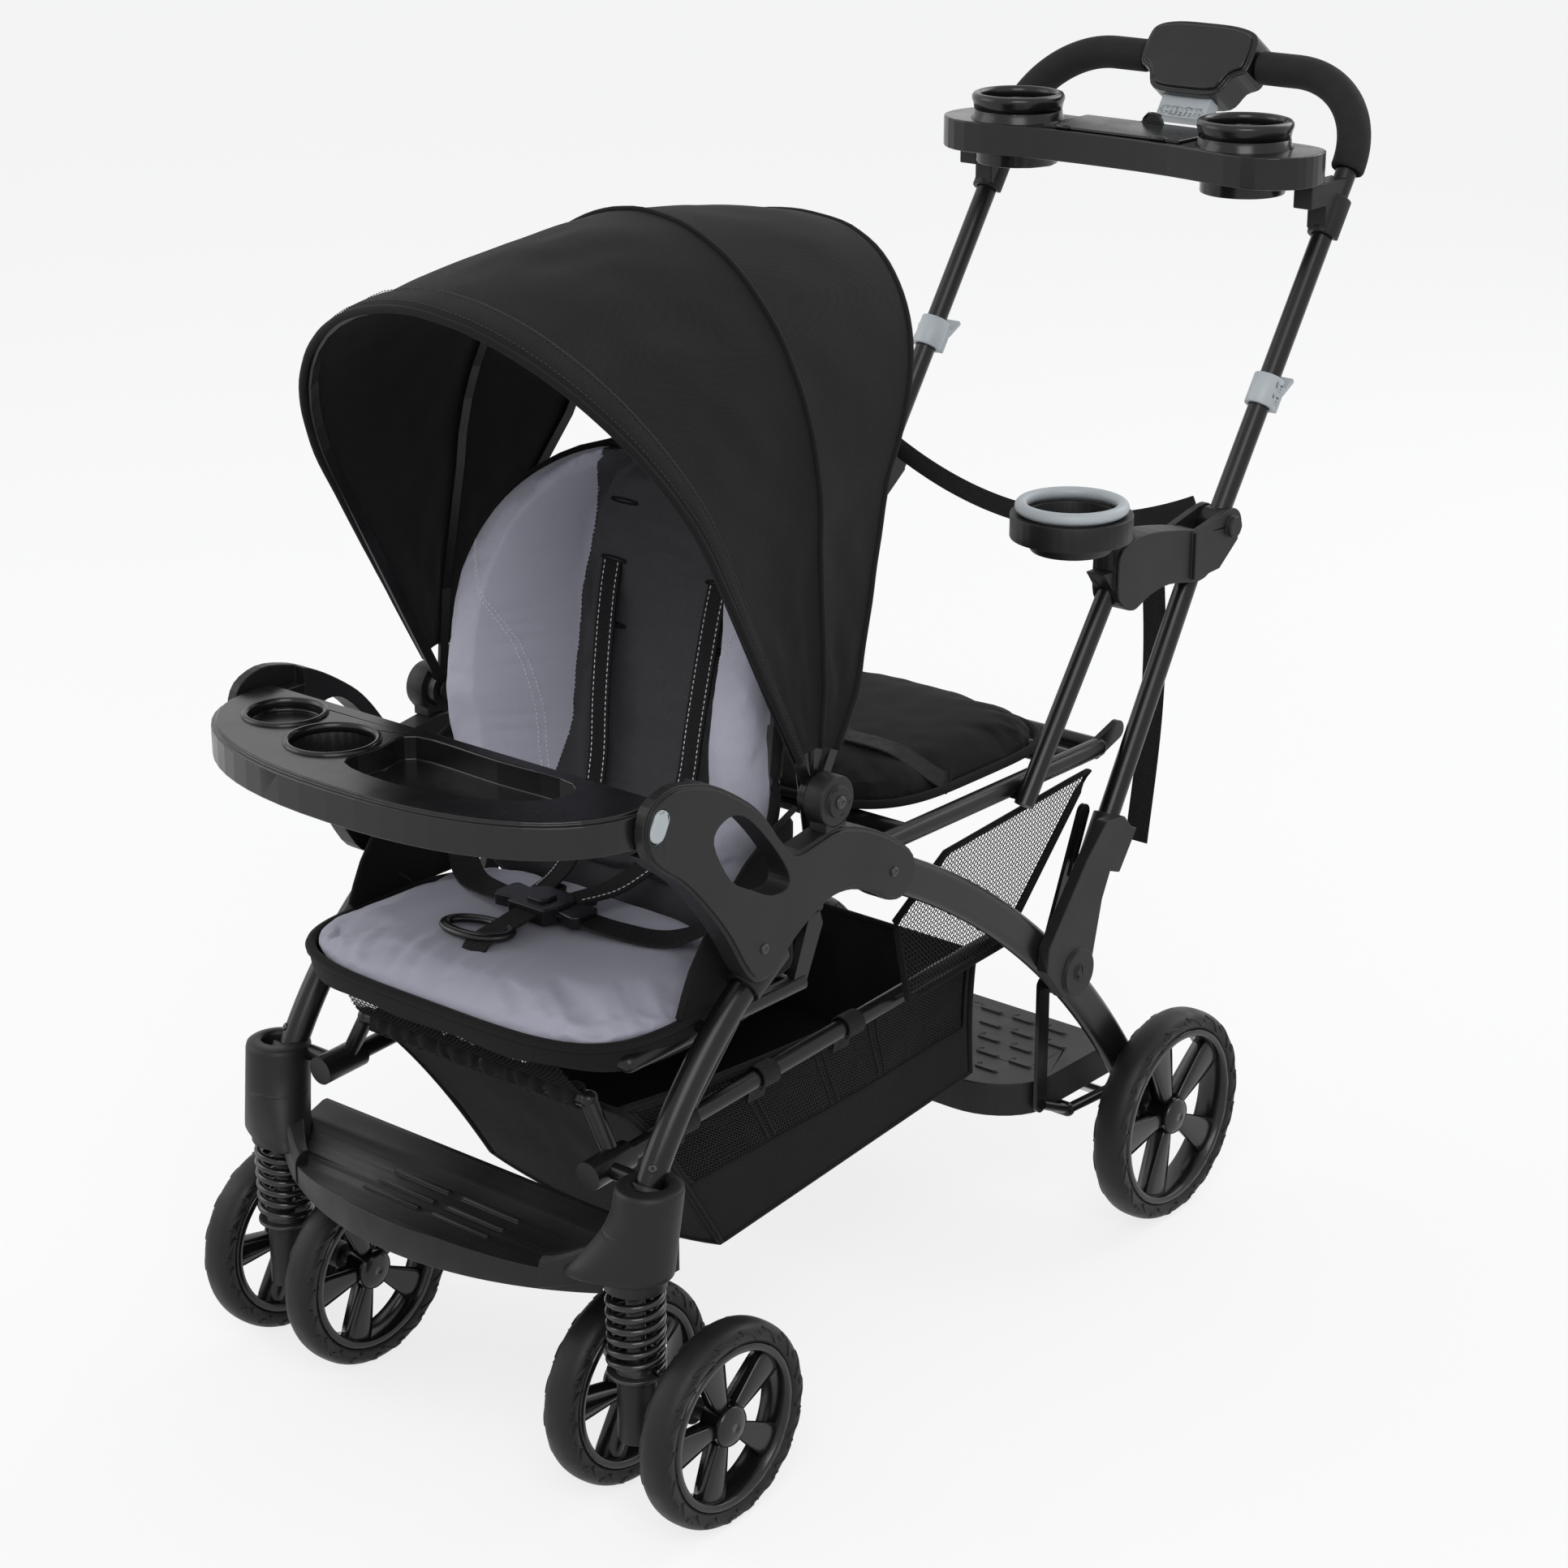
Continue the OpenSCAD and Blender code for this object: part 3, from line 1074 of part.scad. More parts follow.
// Suspension spring: one open coil from the spring seat to the pod
spring_low = seat_z + 3 + gap + spring_wire / 2;
spring_high = pod_z - gap - spring_wire / 2;
spring_pitch = (spring_high - spring_low) / spring_turns;
spring_rings = 12;
spring_path = [for (i = [0:spring_turns * spring_rings]) let (a = 360 * i / spring_rings)
  [spring_r * cos(a), spring_r * sin(a), spring_low + spring_pitch * i / spring_rings]];
echo(spring_least_gap = min([for (i = [0:len(spring_path) - 1], j = [i + 8:1:len(spring_path) - 1])
  norm(spring_path[i] - spring_path[j])]) - spring_wire / cos(30));
module spring() translate([caster_x, -caster_y, 0])
  sweep_tube(spring_path, spring_wire / 2, spring_wire / 2, 6, [0, 0, 1]);
module spring_right() color(black) spring();
module spring_left() color(black) mirror([1, 0, 0]) spring();

// Swivelling caster: tube on the stem, trailing arm and fixed axle for the twin wheels
module caster() {
  fork = front_axle_at;
  difference() {
    union() {
      translate([caster_x, -caster_y, 76]) cylinder(r = swivel_r, h = swivel_top_z - 76);
      pin_x(fork, 12, caster_x - 24, caster_x + 24);
      side_plate(caster_x - 9, caster_x + 9)
        polygon([[-caster_y, 80], [-caster_y, 126], fork + [4, 12], fork + [6, -11]]);
    }
    translate([caster_x, -caster_y, swivel_top_z - 46]) cylinder(r = stem_r + run_fit, h = 60);
  }
  end = twin_offset + front_tyre_w / 2 - 5;
  pin_x(fork, axle_r, caster_x - end, caster_x + end);
}
module caster_right() color(satin) caster();
module caster_left() color(satin) mirror([1, 0, 0]) caster();

// Wheel about the X axis at the origin, with its cap towards +X: spoked rim and separate tyre
module wheel(r, w) {
  rim_r = r - tyre_depth;
  hub_r = 17;
  difference() {
    union() {
      rotate([0, 90, 0]) rotate_extrude() {
        translate([rim_r - 5 - gap, -w / 2 + 4]) square([5, w - 8]);
        translate([0, -w / 2 + 3]) square([hub_r, w - 7]);
        translate([0, w / 2 - 6]) square([13, 4]);
      }
      for (k = [0:spoke_count - 1]) rotate([360 * k / spoke_count, 0, 0]) translate([0, 0, hub_r - 3])
        rotate([0, 0, 24]) translate([-3, 0, 0]) rotate([90, 0, 90]) linear_extrude(6)
          polygon([[-7, 0], [7, 0], [13, 0.55 * rim_r], [11, rim_r - hub_r], [-11, rim_r - hub_r],
            [-15, 0.5 * rim_r]]);
    }
    rotate([0, 90, 0]) translate([0, 0, -w]) cylinder(r = axle_r + run_fit, h = 1.5 * w - 4.5);
    rotate([0, 90, 0]) rotate_extrude() translate([rim_r - gap, -w]) square([20, 2 * w]);
  }
  rotate([0, 90, 0]) rotate_extrude() intersection() {
    translate([rim_r, -w / 2]) square([tyre_depth, w]);
    translate([r - 0.62 * w, 0]) circle(r = 0.62 * w);
  }
}
module front_wheel(x, out) {
  translate([x, front_axle_at[0], front_axle_at[1]]) rotate([0, 0, out > 0 ? 0 : 180])
    wheel(front_wheel_r, front_tyre_w);
}
module front_wheel_right_outer() color(black) front_wheel(caster_x + twin_offset, 1);
module front_wheel_right_inner() color(black) front_wheel(caster_x - twin_offset, -1);
module front_wheel_left_inner() color(black) front_wheel(twin_offset - caster_x, 1);
module front_wheel_left_outer() color(black) front_wheel(-caster_x - twin_offset, -1);
module rear_wheel() translate([rear_wheel_x, rear_axle_at[0], rear_axle_at[1]])
  wheel(rear_wheel_r, rear_tyre_w);
module rear_wheel_right() color(black) rear_wheel();
module rear_wheel_left() color(black) mirror([1, 0, 0]) rear_wheel();

place() side_panel_right();
place() side_panel_left();
place() front_legs();
place() caster_pods();
place() footrest();
place() lower_rails();
place() seat_frame();
place() seat_pad();
place() harness_buckle();
place() canopy_hubs();
place() canopy_bow_rear();
place() canopy_bow_middle();
place() canopy_bow_front();
place() canopy_panel_rear();
place() canopy_panel_front();
place() basket();
place() child_tray();
place() tray_button_right();
place() tray_button_left();
place() backrest_frame();
place() backrest_pad();
place() harness_straps();
place() rear_leg_right();
place() rear_leg_left();
place() rear_axle();
place() platform();
place() platform_links();
place() fold_brackets();
place() slotted_bars();
place() rear_tubes();
place() knuckle_right();
place() knuckle_left();
place() side_cup();
place() cup_ring();
place() bench_frame();
place() bench_pad();
place() bench_belt();
place() side_nets();
place() back_strap();
place() strap_tail();
place() handle_tube();
place() handle_clips();
place() foam_grips();
place() handle_housing();
place() fold_trigger();
place() parent_tray();
place() tray_brackets();
place() tray_lid();
place() caster_stem_right();
place() caster_stem_left();
place() spring_right();
place() spring_left();
place() caster_right();
place() caster_left();
place() front_wheel_right_outer();
place() front_wheel_right_inner();
place() front_wheel_left_inner();
place() front_wheel_left_outer();
place() rear_wheel_right();
place() rear_wheel_left();
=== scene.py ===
import json
import math

import bmesh
import bpy
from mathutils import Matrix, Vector, noise
from mathutils.bvhtree import BVHTree

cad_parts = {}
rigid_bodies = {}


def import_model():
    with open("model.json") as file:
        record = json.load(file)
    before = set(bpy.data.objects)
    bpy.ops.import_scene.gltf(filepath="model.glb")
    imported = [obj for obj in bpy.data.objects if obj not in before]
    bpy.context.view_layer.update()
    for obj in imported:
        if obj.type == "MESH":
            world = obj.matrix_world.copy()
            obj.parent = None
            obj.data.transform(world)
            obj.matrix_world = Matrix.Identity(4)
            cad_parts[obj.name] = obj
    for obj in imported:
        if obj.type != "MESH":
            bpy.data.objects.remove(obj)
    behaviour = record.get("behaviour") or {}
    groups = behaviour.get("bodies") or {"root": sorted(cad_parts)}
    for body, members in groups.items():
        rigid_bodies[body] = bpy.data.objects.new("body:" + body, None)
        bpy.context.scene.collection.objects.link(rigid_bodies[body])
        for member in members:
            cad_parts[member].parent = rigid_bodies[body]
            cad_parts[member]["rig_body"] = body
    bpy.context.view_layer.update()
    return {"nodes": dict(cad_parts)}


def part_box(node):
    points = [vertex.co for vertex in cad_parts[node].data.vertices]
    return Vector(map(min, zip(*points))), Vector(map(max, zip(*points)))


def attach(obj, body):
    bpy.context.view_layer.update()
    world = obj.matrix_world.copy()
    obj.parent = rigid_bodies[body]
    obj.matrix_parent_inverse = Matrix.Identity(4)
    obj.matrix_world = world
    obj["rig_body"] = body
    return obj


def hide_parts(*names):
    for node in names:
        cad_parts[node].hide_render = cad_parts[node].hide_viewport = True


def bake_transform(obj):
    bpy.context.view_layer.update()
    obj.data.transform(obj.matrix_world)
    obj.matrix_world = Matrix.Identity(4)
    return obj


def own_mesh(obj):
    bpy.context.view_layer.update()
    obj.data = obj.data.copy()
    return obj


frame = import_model()

# Tubes of the frame: front legs, lower rails, seat and bench frames, rear legs and handle tubes.
# Drawn steel tube with a black powder coat, bent to its curves and pinned, pegged or riveted together.
# All places are written in millimetres from the rear axle, as on the drawing, and at() sets them in the row.
axle_y = sum(corner[1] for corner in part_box("rear_axle")) / 2
both_hands = ((1, "right"), (-1, "left"))


def at(x, y, z):
    return Vector((x / 1000, y / 1000 + axle_y, z / 1000))


def body_of(node):
    return frame["nodes"][node]["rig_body"]


def put(tree, kind, sockets=None, **settings):
    """A new shader node with its settings, and with its sockets linked or set."""
    node = tree.nodes.new(kind)
    for name, value in settings.items():
        setattr(node, name, value)
    for name, value in (sockets or {}).items():
        if isinstance(value, bpy.types.NodeSocket):
            tree.links.new(value, node.inputs[name])
        else:
            node.inputs[name].default_value = value
    return node


def effect(name, inputs):
    """A shader node group that takes a place and some values, and gives a height and a mottle."""
    group = bpy.data.node_groups.new(name, "ShaderNodeTree")
    group.interface.new_socket("Place", in_out="INPUT", socket_type="NodeSocketVector")
    for label, value in inputs.items():
        socket = group.interface.new_socket(label, in_out="INPUT", socket_type="NodeSocketFloat")
        socket.default_value = value
    for label in ("Height", "Mottle"):
        group.interface.new_socket(label, in_out="OUTPUT", socket_type="NodeSocketFloat")
    return group, group.nodes.new("NodeGroupInput").outputs, group.nodes.new("NodeGroupOutput").inputs


def sum_of(tree, operation, a, b, c=None):
    sockets = {0: a, 1: b}
    if c is not None:
        sockets[2] = c
    return put(tree, "ShaderNodeMath", sockets, operation=operation).outputs[0]


powder_coat, given, gives = effect("powder_coat", {"Peel": 700.0, "Dust": 9.0})
peel = put(powder_coat, "ShaderNodeTexNoise",
           {"Vector": given["Place"], "Scale": given["Peel"], "Detail": 2.0})
dust = put(powder_coat, "ShaderNodeTexNoise",
           {"Vector": given["Place"], "Scale": given["Dust"], "Detail": 6.0})
powder_coat.links.new(peel.outputs[0], gives["Height"])
powder_coat.links.new(dust.outputs[0], gives["Mottle"])

# Worn edges show where a wide bevel of the surface turns away from its own normal
edge_wear = bpy.data.node_groups.new("edge_wear", "ShaderNodeTree")
edge_wear.interface.new_socket("Reach", in_out="INPUT",
                               socket_type="NodeSocketFloat").default_value = 0.0015
edge_wear.interface.new_socket("Mask", in_out="OUTPUT", socket_type="NodeSocketFloat")
reach = edge_wear.nodes.new("NodeGroupInput").outputs["Reach"]
bevelled = put(edge_wear, "ShaderNodeBevel", {"Radius": reach}, samples=4)
flat_normal = put(edge_wear, "ShaderNodeNewGeometry").outputs["Normal"]
turn = put(edge_wear, "ShaderNodeVectorMath", {0: bevelled.outputs[0], 1: flat_normal},
           operation="DOT_PRODUCT")
rub = put(edge_wear, "ShaderNodeTexNoise", {"Scale": 60.0, "Detail": 4.0})
worn = sum_of(edge_wear, "MULTIPLY", sum_of(edge_wear, "SUBTRACT", 1.0, turn.outputs["Value"]),
              rub.outputs[0])
edge_wear.links.new(worn, edge_wear.nodes.new("NodeGroupOutput").inputs["Mask"])


def finish(name, group, values, dark, light, rough, bump, wear=None, place="Object", **constants):
    """A material: one effect group drives colour, roughness and bump of its Principled shader."""
    material = bpy.data.materials.new(name)
    material.use_nodes = True
    tree = material.node_tree
    shader = tree.nodes["Principled BSDF"]
    coordinates = put(tree, "ShaderNodeTexCoord").outputs[place]
    look = put(tree, "ShaderNodeGroup", {"Place": coordinates, **values}, node_tree=group).outputs
    colour = put(tree, "ShaderNodeMix", {0: look["Mottle"], 6: (*dark, 1), 7: (*light, 1)},
                 data_type="RGBA").outputs[2]
    if wear:
        mask = put(tree, "ShaderNodeGroup", {"Reach": wear[0]}, node_tree=edge_wear).outputs["Mask"]
        colour = put(tree, "ShaderNodeMix", {0: mask, 6: colour, 7: (*wear[1], 1)},
                     data_type="RGBA").outputs[2]
    tree.links.new(colour, shader.inputs["Base Color"])
    spread = put(tree, "ShaderNodeMapRange", {0: look["Mottle"], 1: 0.3, 2: 0.7, 3: rough[0], 4: rough[1]})
    tree.links.new(spread.outputs[0], shader.inputs["Roughness"])
    relief = put(tree, "ShaderNodeBump",
                 {"Strength": bump[0], "Distance": bump[1], "Height": look["Height"]})
    tree.links.new(relief.outputs[0], shader.inputs["Normal"])
    for label, value in constants.items():
        shader.inputs[label.replace("_", " ")].default_value = value
    return material


def dress(material, slot, *names, round_edge=0.0):
    """Gives CAD nodes their material and eases their sharp edges."""
    for name in names:
        node = frame["nodes"][name]
        node.data.materials.clear()
        node.data.materials.append(material)
        if round_edge:
            weld = node.modifiers.new("weld", "WELD")
            weld.merge_threshold = 0.00001
            ease = node.modifiers.new("eased_edges", "BEVEL")
            ease.width = round_edge
            ease.segments = 2
            ease.limit_method = "ANGLE"
            ease.angle_limit = math.radians(40)
            ease.use_clamp_overlap = False
            ease.harden_normals = True


tube_paint = finish("tube_paint", powder_coat, {}, (0.004, 0.004, 0.0045), (0.009, 0.009, 0.0095),
                    (0.24, 0.36), (0.12, 0.0002), **{"Specular IOR Level": 0.3})
dress(tube_paint, "frame_paint", "front_legs", "lower_rails", "seat_frame", "rear_leg_right",
      "rear_leg_left", "rear_tubes", "bench_frame", "backrest_frame", "handle_tube", "platform_links",
      "slotted_bars", "canopy_bow_rear", "canopy_bow_middle", "canopy_bow_front")

# Rear axle and caster stems: plain turned steel, the axle left bright and the stems given a dark, dull
# colour.
# The axle crosses between the rear legs; each stem slides up and down in its pod and carries a caster.
bright_steel = finish("bright_steel", powder_coat, {"Peel": 2500.0, "Dust": 30.0}, (0.4, 0.4, 0.41),
                      (0.55, 0.55, 0.56), (0.22, 0.4), (0.1, 0.0001), Metallic=1.0)
dress(bright_steel, "steel", "rear_axle")
stem_steel = finish("stem_steel", powder_coat, {"Dust": 40.0}, (0.012, 0.012, 0.012), (0.03, 0.03, 0.03),
                    (0.25, 0.45), (0.1, 0.0002))
dress(stem_steel, "steel", "caster_stem_right", "caster_stem_left", round_edge=0.0006)

# Moulded fittings: side panels, caster pods, footrest, platform, brackets and knuckles.
# Black polypropylene with the fine spark-eroded grain of its mould, screwed or riveted to the tubes.
moulded_grain, given, gives = effect("moulded_grain", {"Grain": 1500.0, "Scuff": 14.0})
pits = put(moulded_grain, "ShaderNodeTexVoronoi", {"Vector": given["Place"], "Scale": given["Grain"]})
scuff = put(moulded_grain, "ShaderNodeTexNoise",
            {"Vector": given["Place"], "Scale": given["Scuff"], "Detail": 8.0, "Roughness": 0.65})
moulded_grain.links.new(pits.outputs["Distance"], gives["Height"])
moulded_grain.links.new(scuff.outputs[0], gives["Mottle"])

satin_black = finish("satin_black", moulded_grain, {}, (0.006, 0.006, 0.0064), (0.0135, 0.0135, 0.0142),
                     (0.4, 0.54), (0.16, 0.0003), wear=(0.0016, (0.045, 0.045, 0.047)),
                     **{"Specular IOR Level": 0.27})
dress(satin_black, "black_plastic", "side_panel_right", "side_panel_left", "caster_pods", "footrest",
      "platform", "fold_brackets", "knuckle_right", "knuckle_left", "caster_right", "caster_left",
      "canopy_hubs", "side_cup", "tray_brackets", round_edge=0.0012)

# Trays and handle housing: the same plastic from polished moulds, so they shine more.
# The child tray slides in the side panels; the parent tray and the housing are screwed to the handle.
gloss_black = finish("gloss_black", moulded_grain, {"Grain": 500.0, "Scuff": 22.0}, (0.005, 0.005, 0.0055),
                     (0.011, 0.011, 0.012), (0.17, 0.3), (0.05, 0.0003), wear=(0.0015, (0.04, 0.04, 0.042)),
                     **{"Specular IOR Level": 0.36})
dress(gloss_black, "gloss_plastic", "child_tray", "parent_tray", "tray_lid", "handle_housing",
      round_edge=0.0015)

# Grey details: tray buttons, cup ring, handle clips and fold trigger, moulded in through-dyed grey nylon.
# Buttons, clips and trigger snap into their seats, and the ring is pressed on the rim of the side cup.
grey_nylon = finish("grey_nylon", moulded_grain, {"Grain": 1200.0, "Scuff": 30.0}, (0.36, 0.395, 0.41),
                    (0.42, 0.455, 0.47), (0.36, 0.5), (0.08, 0.0002), wear=(0.001, (0.55, 0.58, 0.6)))
dress(grey_nylon, "grey_plastic", "tray_button_right", "tray_button_left", "cup_ring", "handle_clips",
      "fold_trigger", round_edge=0.001)

# Foam grips: closed-cell black foam sleeves, dull and finely pored.
# They are pushed over both sides of the handle arch before the housing closes its middle.
foam_pores, given, gives = effect("foam_pores", {"Pores": 900.0})
cells = put(foam_pores, "ShaderNodeTexVoronoi", {"Vector": given["Place"], "Scale": given["Pores"]})
flecks = put(foam_pores, "ShaderNodeTexNoise", {"Vector": given["Place"], "Scale": 60.0, "Detail": 6.0})
foam_pores.links.new(cells.outputs["Distance"], gives["Height"])
foam_pores.links.new(flecks.outputs[0], gives["Mottle"])
grip_foam = finish("grip_foam", foam_pores, {}, (0.01, 0.01, 0.0105), (0.02, 0.02, 0.021), (0.72, 0.9),
                   (0.5, 0.0006), **{"Specular IOR Level": 0.2})
dress(grip_foam, "foam", "foam_grips", round_edge=0.003)

# Wheels: a moulded rim with five leaf-shaped spokes and a capped hub, under a solid foam-rubber tyre.
# The tyre is pressed on the rim; scroll ridges run round both of its shoulders. Each turns on its own axle.
def mesh_piece(name, points, faces, material, slot, body=None, smooth=True):
    """A piece from points and faces, with its normals turned outwards, that rides on a body."""
    data = bpy.data.meshes.new(name)
    data.from_pydata([tuple(p) for p in points], [], faces)
    data.validate()
    shell = bmesh.new()
    shell.from_mesh(data)
    bmesh.ops.recalc_face_normals(shell, faces=shell.faces)
    shell.to_mesh(data)
    shell.free()
    data.polygons.foreach_set("use_smooth", [smooth] * len(data.polygons))
    piece = bpy.data.objects.new(name, data)
    bpy.context.scene.collection.objects.link(piece)
    data.materials.append(material)
    if body:
        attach(piece, body)
    return piece


def grid_faces(rows, columns, round_rows=False, round_columns=False, start=0):
    """Four-sided faces of a grid of points, closed on itself along its rows or columns where asked."""
    faces = []
    for i in range(rows if round_rows else rows - 1):
        for j in range(columns if round_columns else columns - 1):
            a, b = i * columns, (i + 1) % rows * columns
            k = (j + 1) % columns
            faces.append((start + a + j, start + a + k, start + b + k, start + b + j))
    return faces


def tube_rings(path, radius, sides, closed=False, squeeze=1.0, up=Vector((0, 0, 1))):
    """Points and faces of a tube along a path; radius is a number or one number for each point."""
    count = len(path)
    points = []
    for i, p in enumerate(path):
        ahead = path[(i + 1) % count] if closed or i < count - 1 else p
        behind = path[i - 1] if closed or i else p
        along = (ahead - behind).normalized()
        side = along.cross(up)
        if side.length < 0.05:
            side = along.cross(Vector((0.3, 1, 0.2)))
        side.normalize()
        over = side.cross(along)
        r = radius[i] if hasattr(radius, "__len__") else radius
        for j in range(sides):
            turn = 2 * math.pi * j / sides
            points.append(p + side * r * math.cos(turn) + over * r * squeeze * math.sin(turn))
    faces = grid_faces(count, sides, round_rows=closed, round_columns=True)
    if not closed:
        faces += [tuple(range(sides)), tuple(range((count - 1) * sides, count * sides))]
    return points, faces


def gather(*parts):
    """Several (points, faces) as one."""
    points, faces = [], []
    for more_points, more_faces in parts:
        start = len(points)
        points += more_points
        faces += [tuple(start + k for k in face) for face in more_faces]
    return points, faces


def lathe(profile, turns, closed=True):
    """Points and faces of (radius, x) pairs turned round the x axis."""
    points = [Vector((x, r * math.cos(2 * math.pi * i / turns), r * math.sin(2 * math.pi * i / turns)))
              for i in range(turns) for r, x in profile]
    return points, grid_faces(turns, len(profile), round_rows=True, round_columns=closed)


def spoke(inner, outer, half):
    """One fan blade of a wheel, from the hub out along +z: a wide front face on a narrower web."""
    points, steps = [], 12
    for i in range(steps + 1):
        t = i / steps
        w = 0.0056 + (outer - inner) * 0.2 * t ** 0.9 - 0.0022 * max(0, t - 0.82) / 0.18
        front, rear = half * (0.42 + 0.14 * t), -half * (0.72 - 0.2 * t)
        section = [(front - 0.0026, -w), (front - 0.0005, -w * 0.93), (front + 0.0006, -w * 0.5),
                   (front + 0.001, 0), (front + 0.0006, w * 0.5), (front - 0.0005, w * 0.93),
                   (front - 0.0026, w), (rear, w * 0.55), (rear - 0.0008, 0), (rear, -w * 0.55)]
        points += [Vector((x, y, inner + (outer - inner) * t)) for x, y in section]
    ends = [tuple(range(10)), tuple(range(steps * 10, steps * 10 + 10))]
    return points, grid_faces(steps + 1, 10, round_columns=True) + ends


def about_x(part, turn):
    c, s = math.cos(turn), math.sin(turn)
    return [Vector((p.x, p.y * c - p.z * s, p.y * s + p.z * c)) for p in part[0]], part[1]


def tyre_profile(r, w, depth):
    """Half-round tread on straight shoulders, as (radius, x) pairs."""
    half = w / 2
    crown = [(r - depth + 0.0004, half * 0.86), (r - depth * 0.72, half * 0.97), (r - depth * 0.5, half)]
    crown += [(r - depth * 0.5 + depth * 0.5 * math.sin(a), half * math.cos(a) ** 0.8)
              for a in (math.radians(k * 10) for k in range(1, 9))]
    return crown + [(r, 0.0)] + [(p, -x) for p, x in reversed(crown)]


def tread_scroll(r, w, depth, side, start):
    """One scroll ridge on a shoulder: it rises to the edge of the tread and curls back on itself."""
    path = []
    for k in range(13):
        rise = k / 12
        path.append((start + 0.28 * rise, -0.3 + 0.67 * math.sin(math.pi / 2 * rise)))
    for k in range(1, 13):
        curl = 1.5 * math.pi * k / 12
        path.append((start + 0.28 - 0.05 * math.sin(curl), 0.2 + 0.17 * math.cos(curl)))
    ridge = []
    for sweep, height in path:
        a = height * math.pi / 2
        radius = r - depth * 0.5 + depth * 0.5 * math.sin(a) - 0.0005
        wide = math.cos(a) ** 0.8 if a > 0 else 0.99
        ridge.append(Vector((side * (w / 2 * wide - 0.0003), radius * math.cos(sweep),
                             radius * math.sin(sweep))))
    return tube_rings(ridge, 0.0014, 6, up=Vector((1, 0, 0)))


tyre_rubber = finish("tyre_rubber", foam_pores, {"Pores": 1600.0}, (0.0065, 0.0065, 0.0065),
                     (0.013, 0.013, 0.0128), (0.4, 0.56), (0.15, 0.0003), **{"Specular IOR Level": 0.25})
rim_gloss = finish("rim_gloss", moulded_grain, {"Grain": 400.0, "Scuff": 35.0}, (0.004, 0.004, 0.004),
                   (0.009, 0.009, 0.009), (0.14, 0.26), (0.04, 0.0003), **{"Specular IOR Level": 0.4})
tyre_depth = 0.017
for node in ("front_wheel_right_outer", "front_wheel_right_inner", "front_wheel_left_inner",
             "front_wheel_left_outer", "rear_wheel_right", "rear_wheel_left"):
    low, high = (Vector(p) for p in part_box(node))
    middle, r = (low + high) / 2, (high.z - low.z) / 2
    w = 0.031 if node.startswith("front") else 0.033
    capped = 1 if node in ("front_wheel_right_outer", "front_wheel_left_inner", "rear_wheel_right") else -1
    half, barrel = w / 2, r - tyre_depth
    tyre = lathe(tyre_profile(r, w, tyre_depth), 96)
    scrolls = [tread_scroll(r, w, tyre_depth, side, 2 * math.pi * (k + (0.5 if side > 0 else 0)) / 18)
               for side in (1, -1) for k in range(18)]
    barrel_ring = lathe([(barrel, half * 0.9), (barrel - 0.0012, half * 0.94),
                         (barrel - 0.0055, half * 0.94), (barrel - 0.0068, half * 0.86),
                         (barrel - 0.0075, 0), (barrel - 0.0068, -half * 0.86),
                         (barrel - 0.0055, -half * 0.94), (barrel - 0.0012, -half * 0.94),
                         (barrel, -half * 0.9)], 96)
    hub = lathe([(0.0002, half - 0.0004), (0.006, half - 0.0007), (0.012, half - 0.0017),
                 (0.0162, half - 0.0034), (0.0178, half - 0.0052), (0.018, half - 0.0085),
                 (0.0166, half - 0.0092), (0.0166, -half + 0.005), (0.0055, -half + 0.004),
                 (0.0055, half - 0.008), (0.0002, half - 0.008)], 48)
    blades = [about_x(spoke(0.0145, barrel - 0.004, half), 2 * math.pi * (k + 0.25) / 5) for k in range(5)]
    for part, shape, material in (("tyre", gather(tyre, *scrolls), tyre_rubber),
                                  ("rim", gather(barrel_ring, hub, *blades), rim_gloss)):
        points = [Vector((p.x * capped, p.y, p.z)) + middle for p in shape[0]]
        piece = mesh_piece(node + "_" + part, points, shape[1], material, "wheel", body_of(node))
        if part == "rim":
            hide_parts(node)

# Cup lips: the rolled rims of the parent tray's two cups and of the child tray's cup and recess.
# They are moulded with the trays; each is a turned section with a small fillet at its foot.
def turned_z(profile, x, y):
    """A closed (radius, z) section in millimetres turned round an upright axis."""
    points, faces = lathe([(r, z) for r, z in profile], 72)
    return [at(x + p.y, y + p.z, p.x) for p in points], faces


parent_cups = []
for side in (1, -1):
    r, top, foot = 37, 1009, 985
    lip = [(r + 6, top - 15), (r + 7, top - 9), (r + 8.4, top - 5), (r + 8.4, top - 2),
           (r + 6.6, top + 0.4), (r + 3.6, top + 1.3), (r + 0.8, top + 0.3), (r - 0.4, top - 3),
           (r - 0.4, top - 9), (r + 1.5, top - 12)]
    fillet = [(r + 5, foot + 9), (r + 6.3, foot + 8), (r + 6.9, foot + 3.6), (r + 9, foot + 0.4),
              (r + 9, foot - 1), (r + 5, foot - 1)]
    parent_cups += [turned_z(lip, side * 130, 221), turned_z(fillet, side * 130, 221)]
mesh_piece("parent_cup_lips", *gather(*parent_cups), gloss_black, "gloss_plastic", body_of("parent_tray"))
child_cups = []
for r, x, y in ((34, -74, -765), (30, -152, -744)):
    top = 620
    child_cups.append(turned_z([(r + 6, top - 1), (r + 5.4, top + 1.4), (r + 3.6, top + 2.7),
                                (r + 1.6, top + 2.5), (r + 0.2, top + 1.2), (r - 0.4, top - 1),
                                (r - 0.4, top - 5), (r + 1.5, top - 6)], x, y))
mesh_piece("child_tray_lips", *gather(*child_cups), gloss_black, "gloss_plastic", body_of("child_tray"))

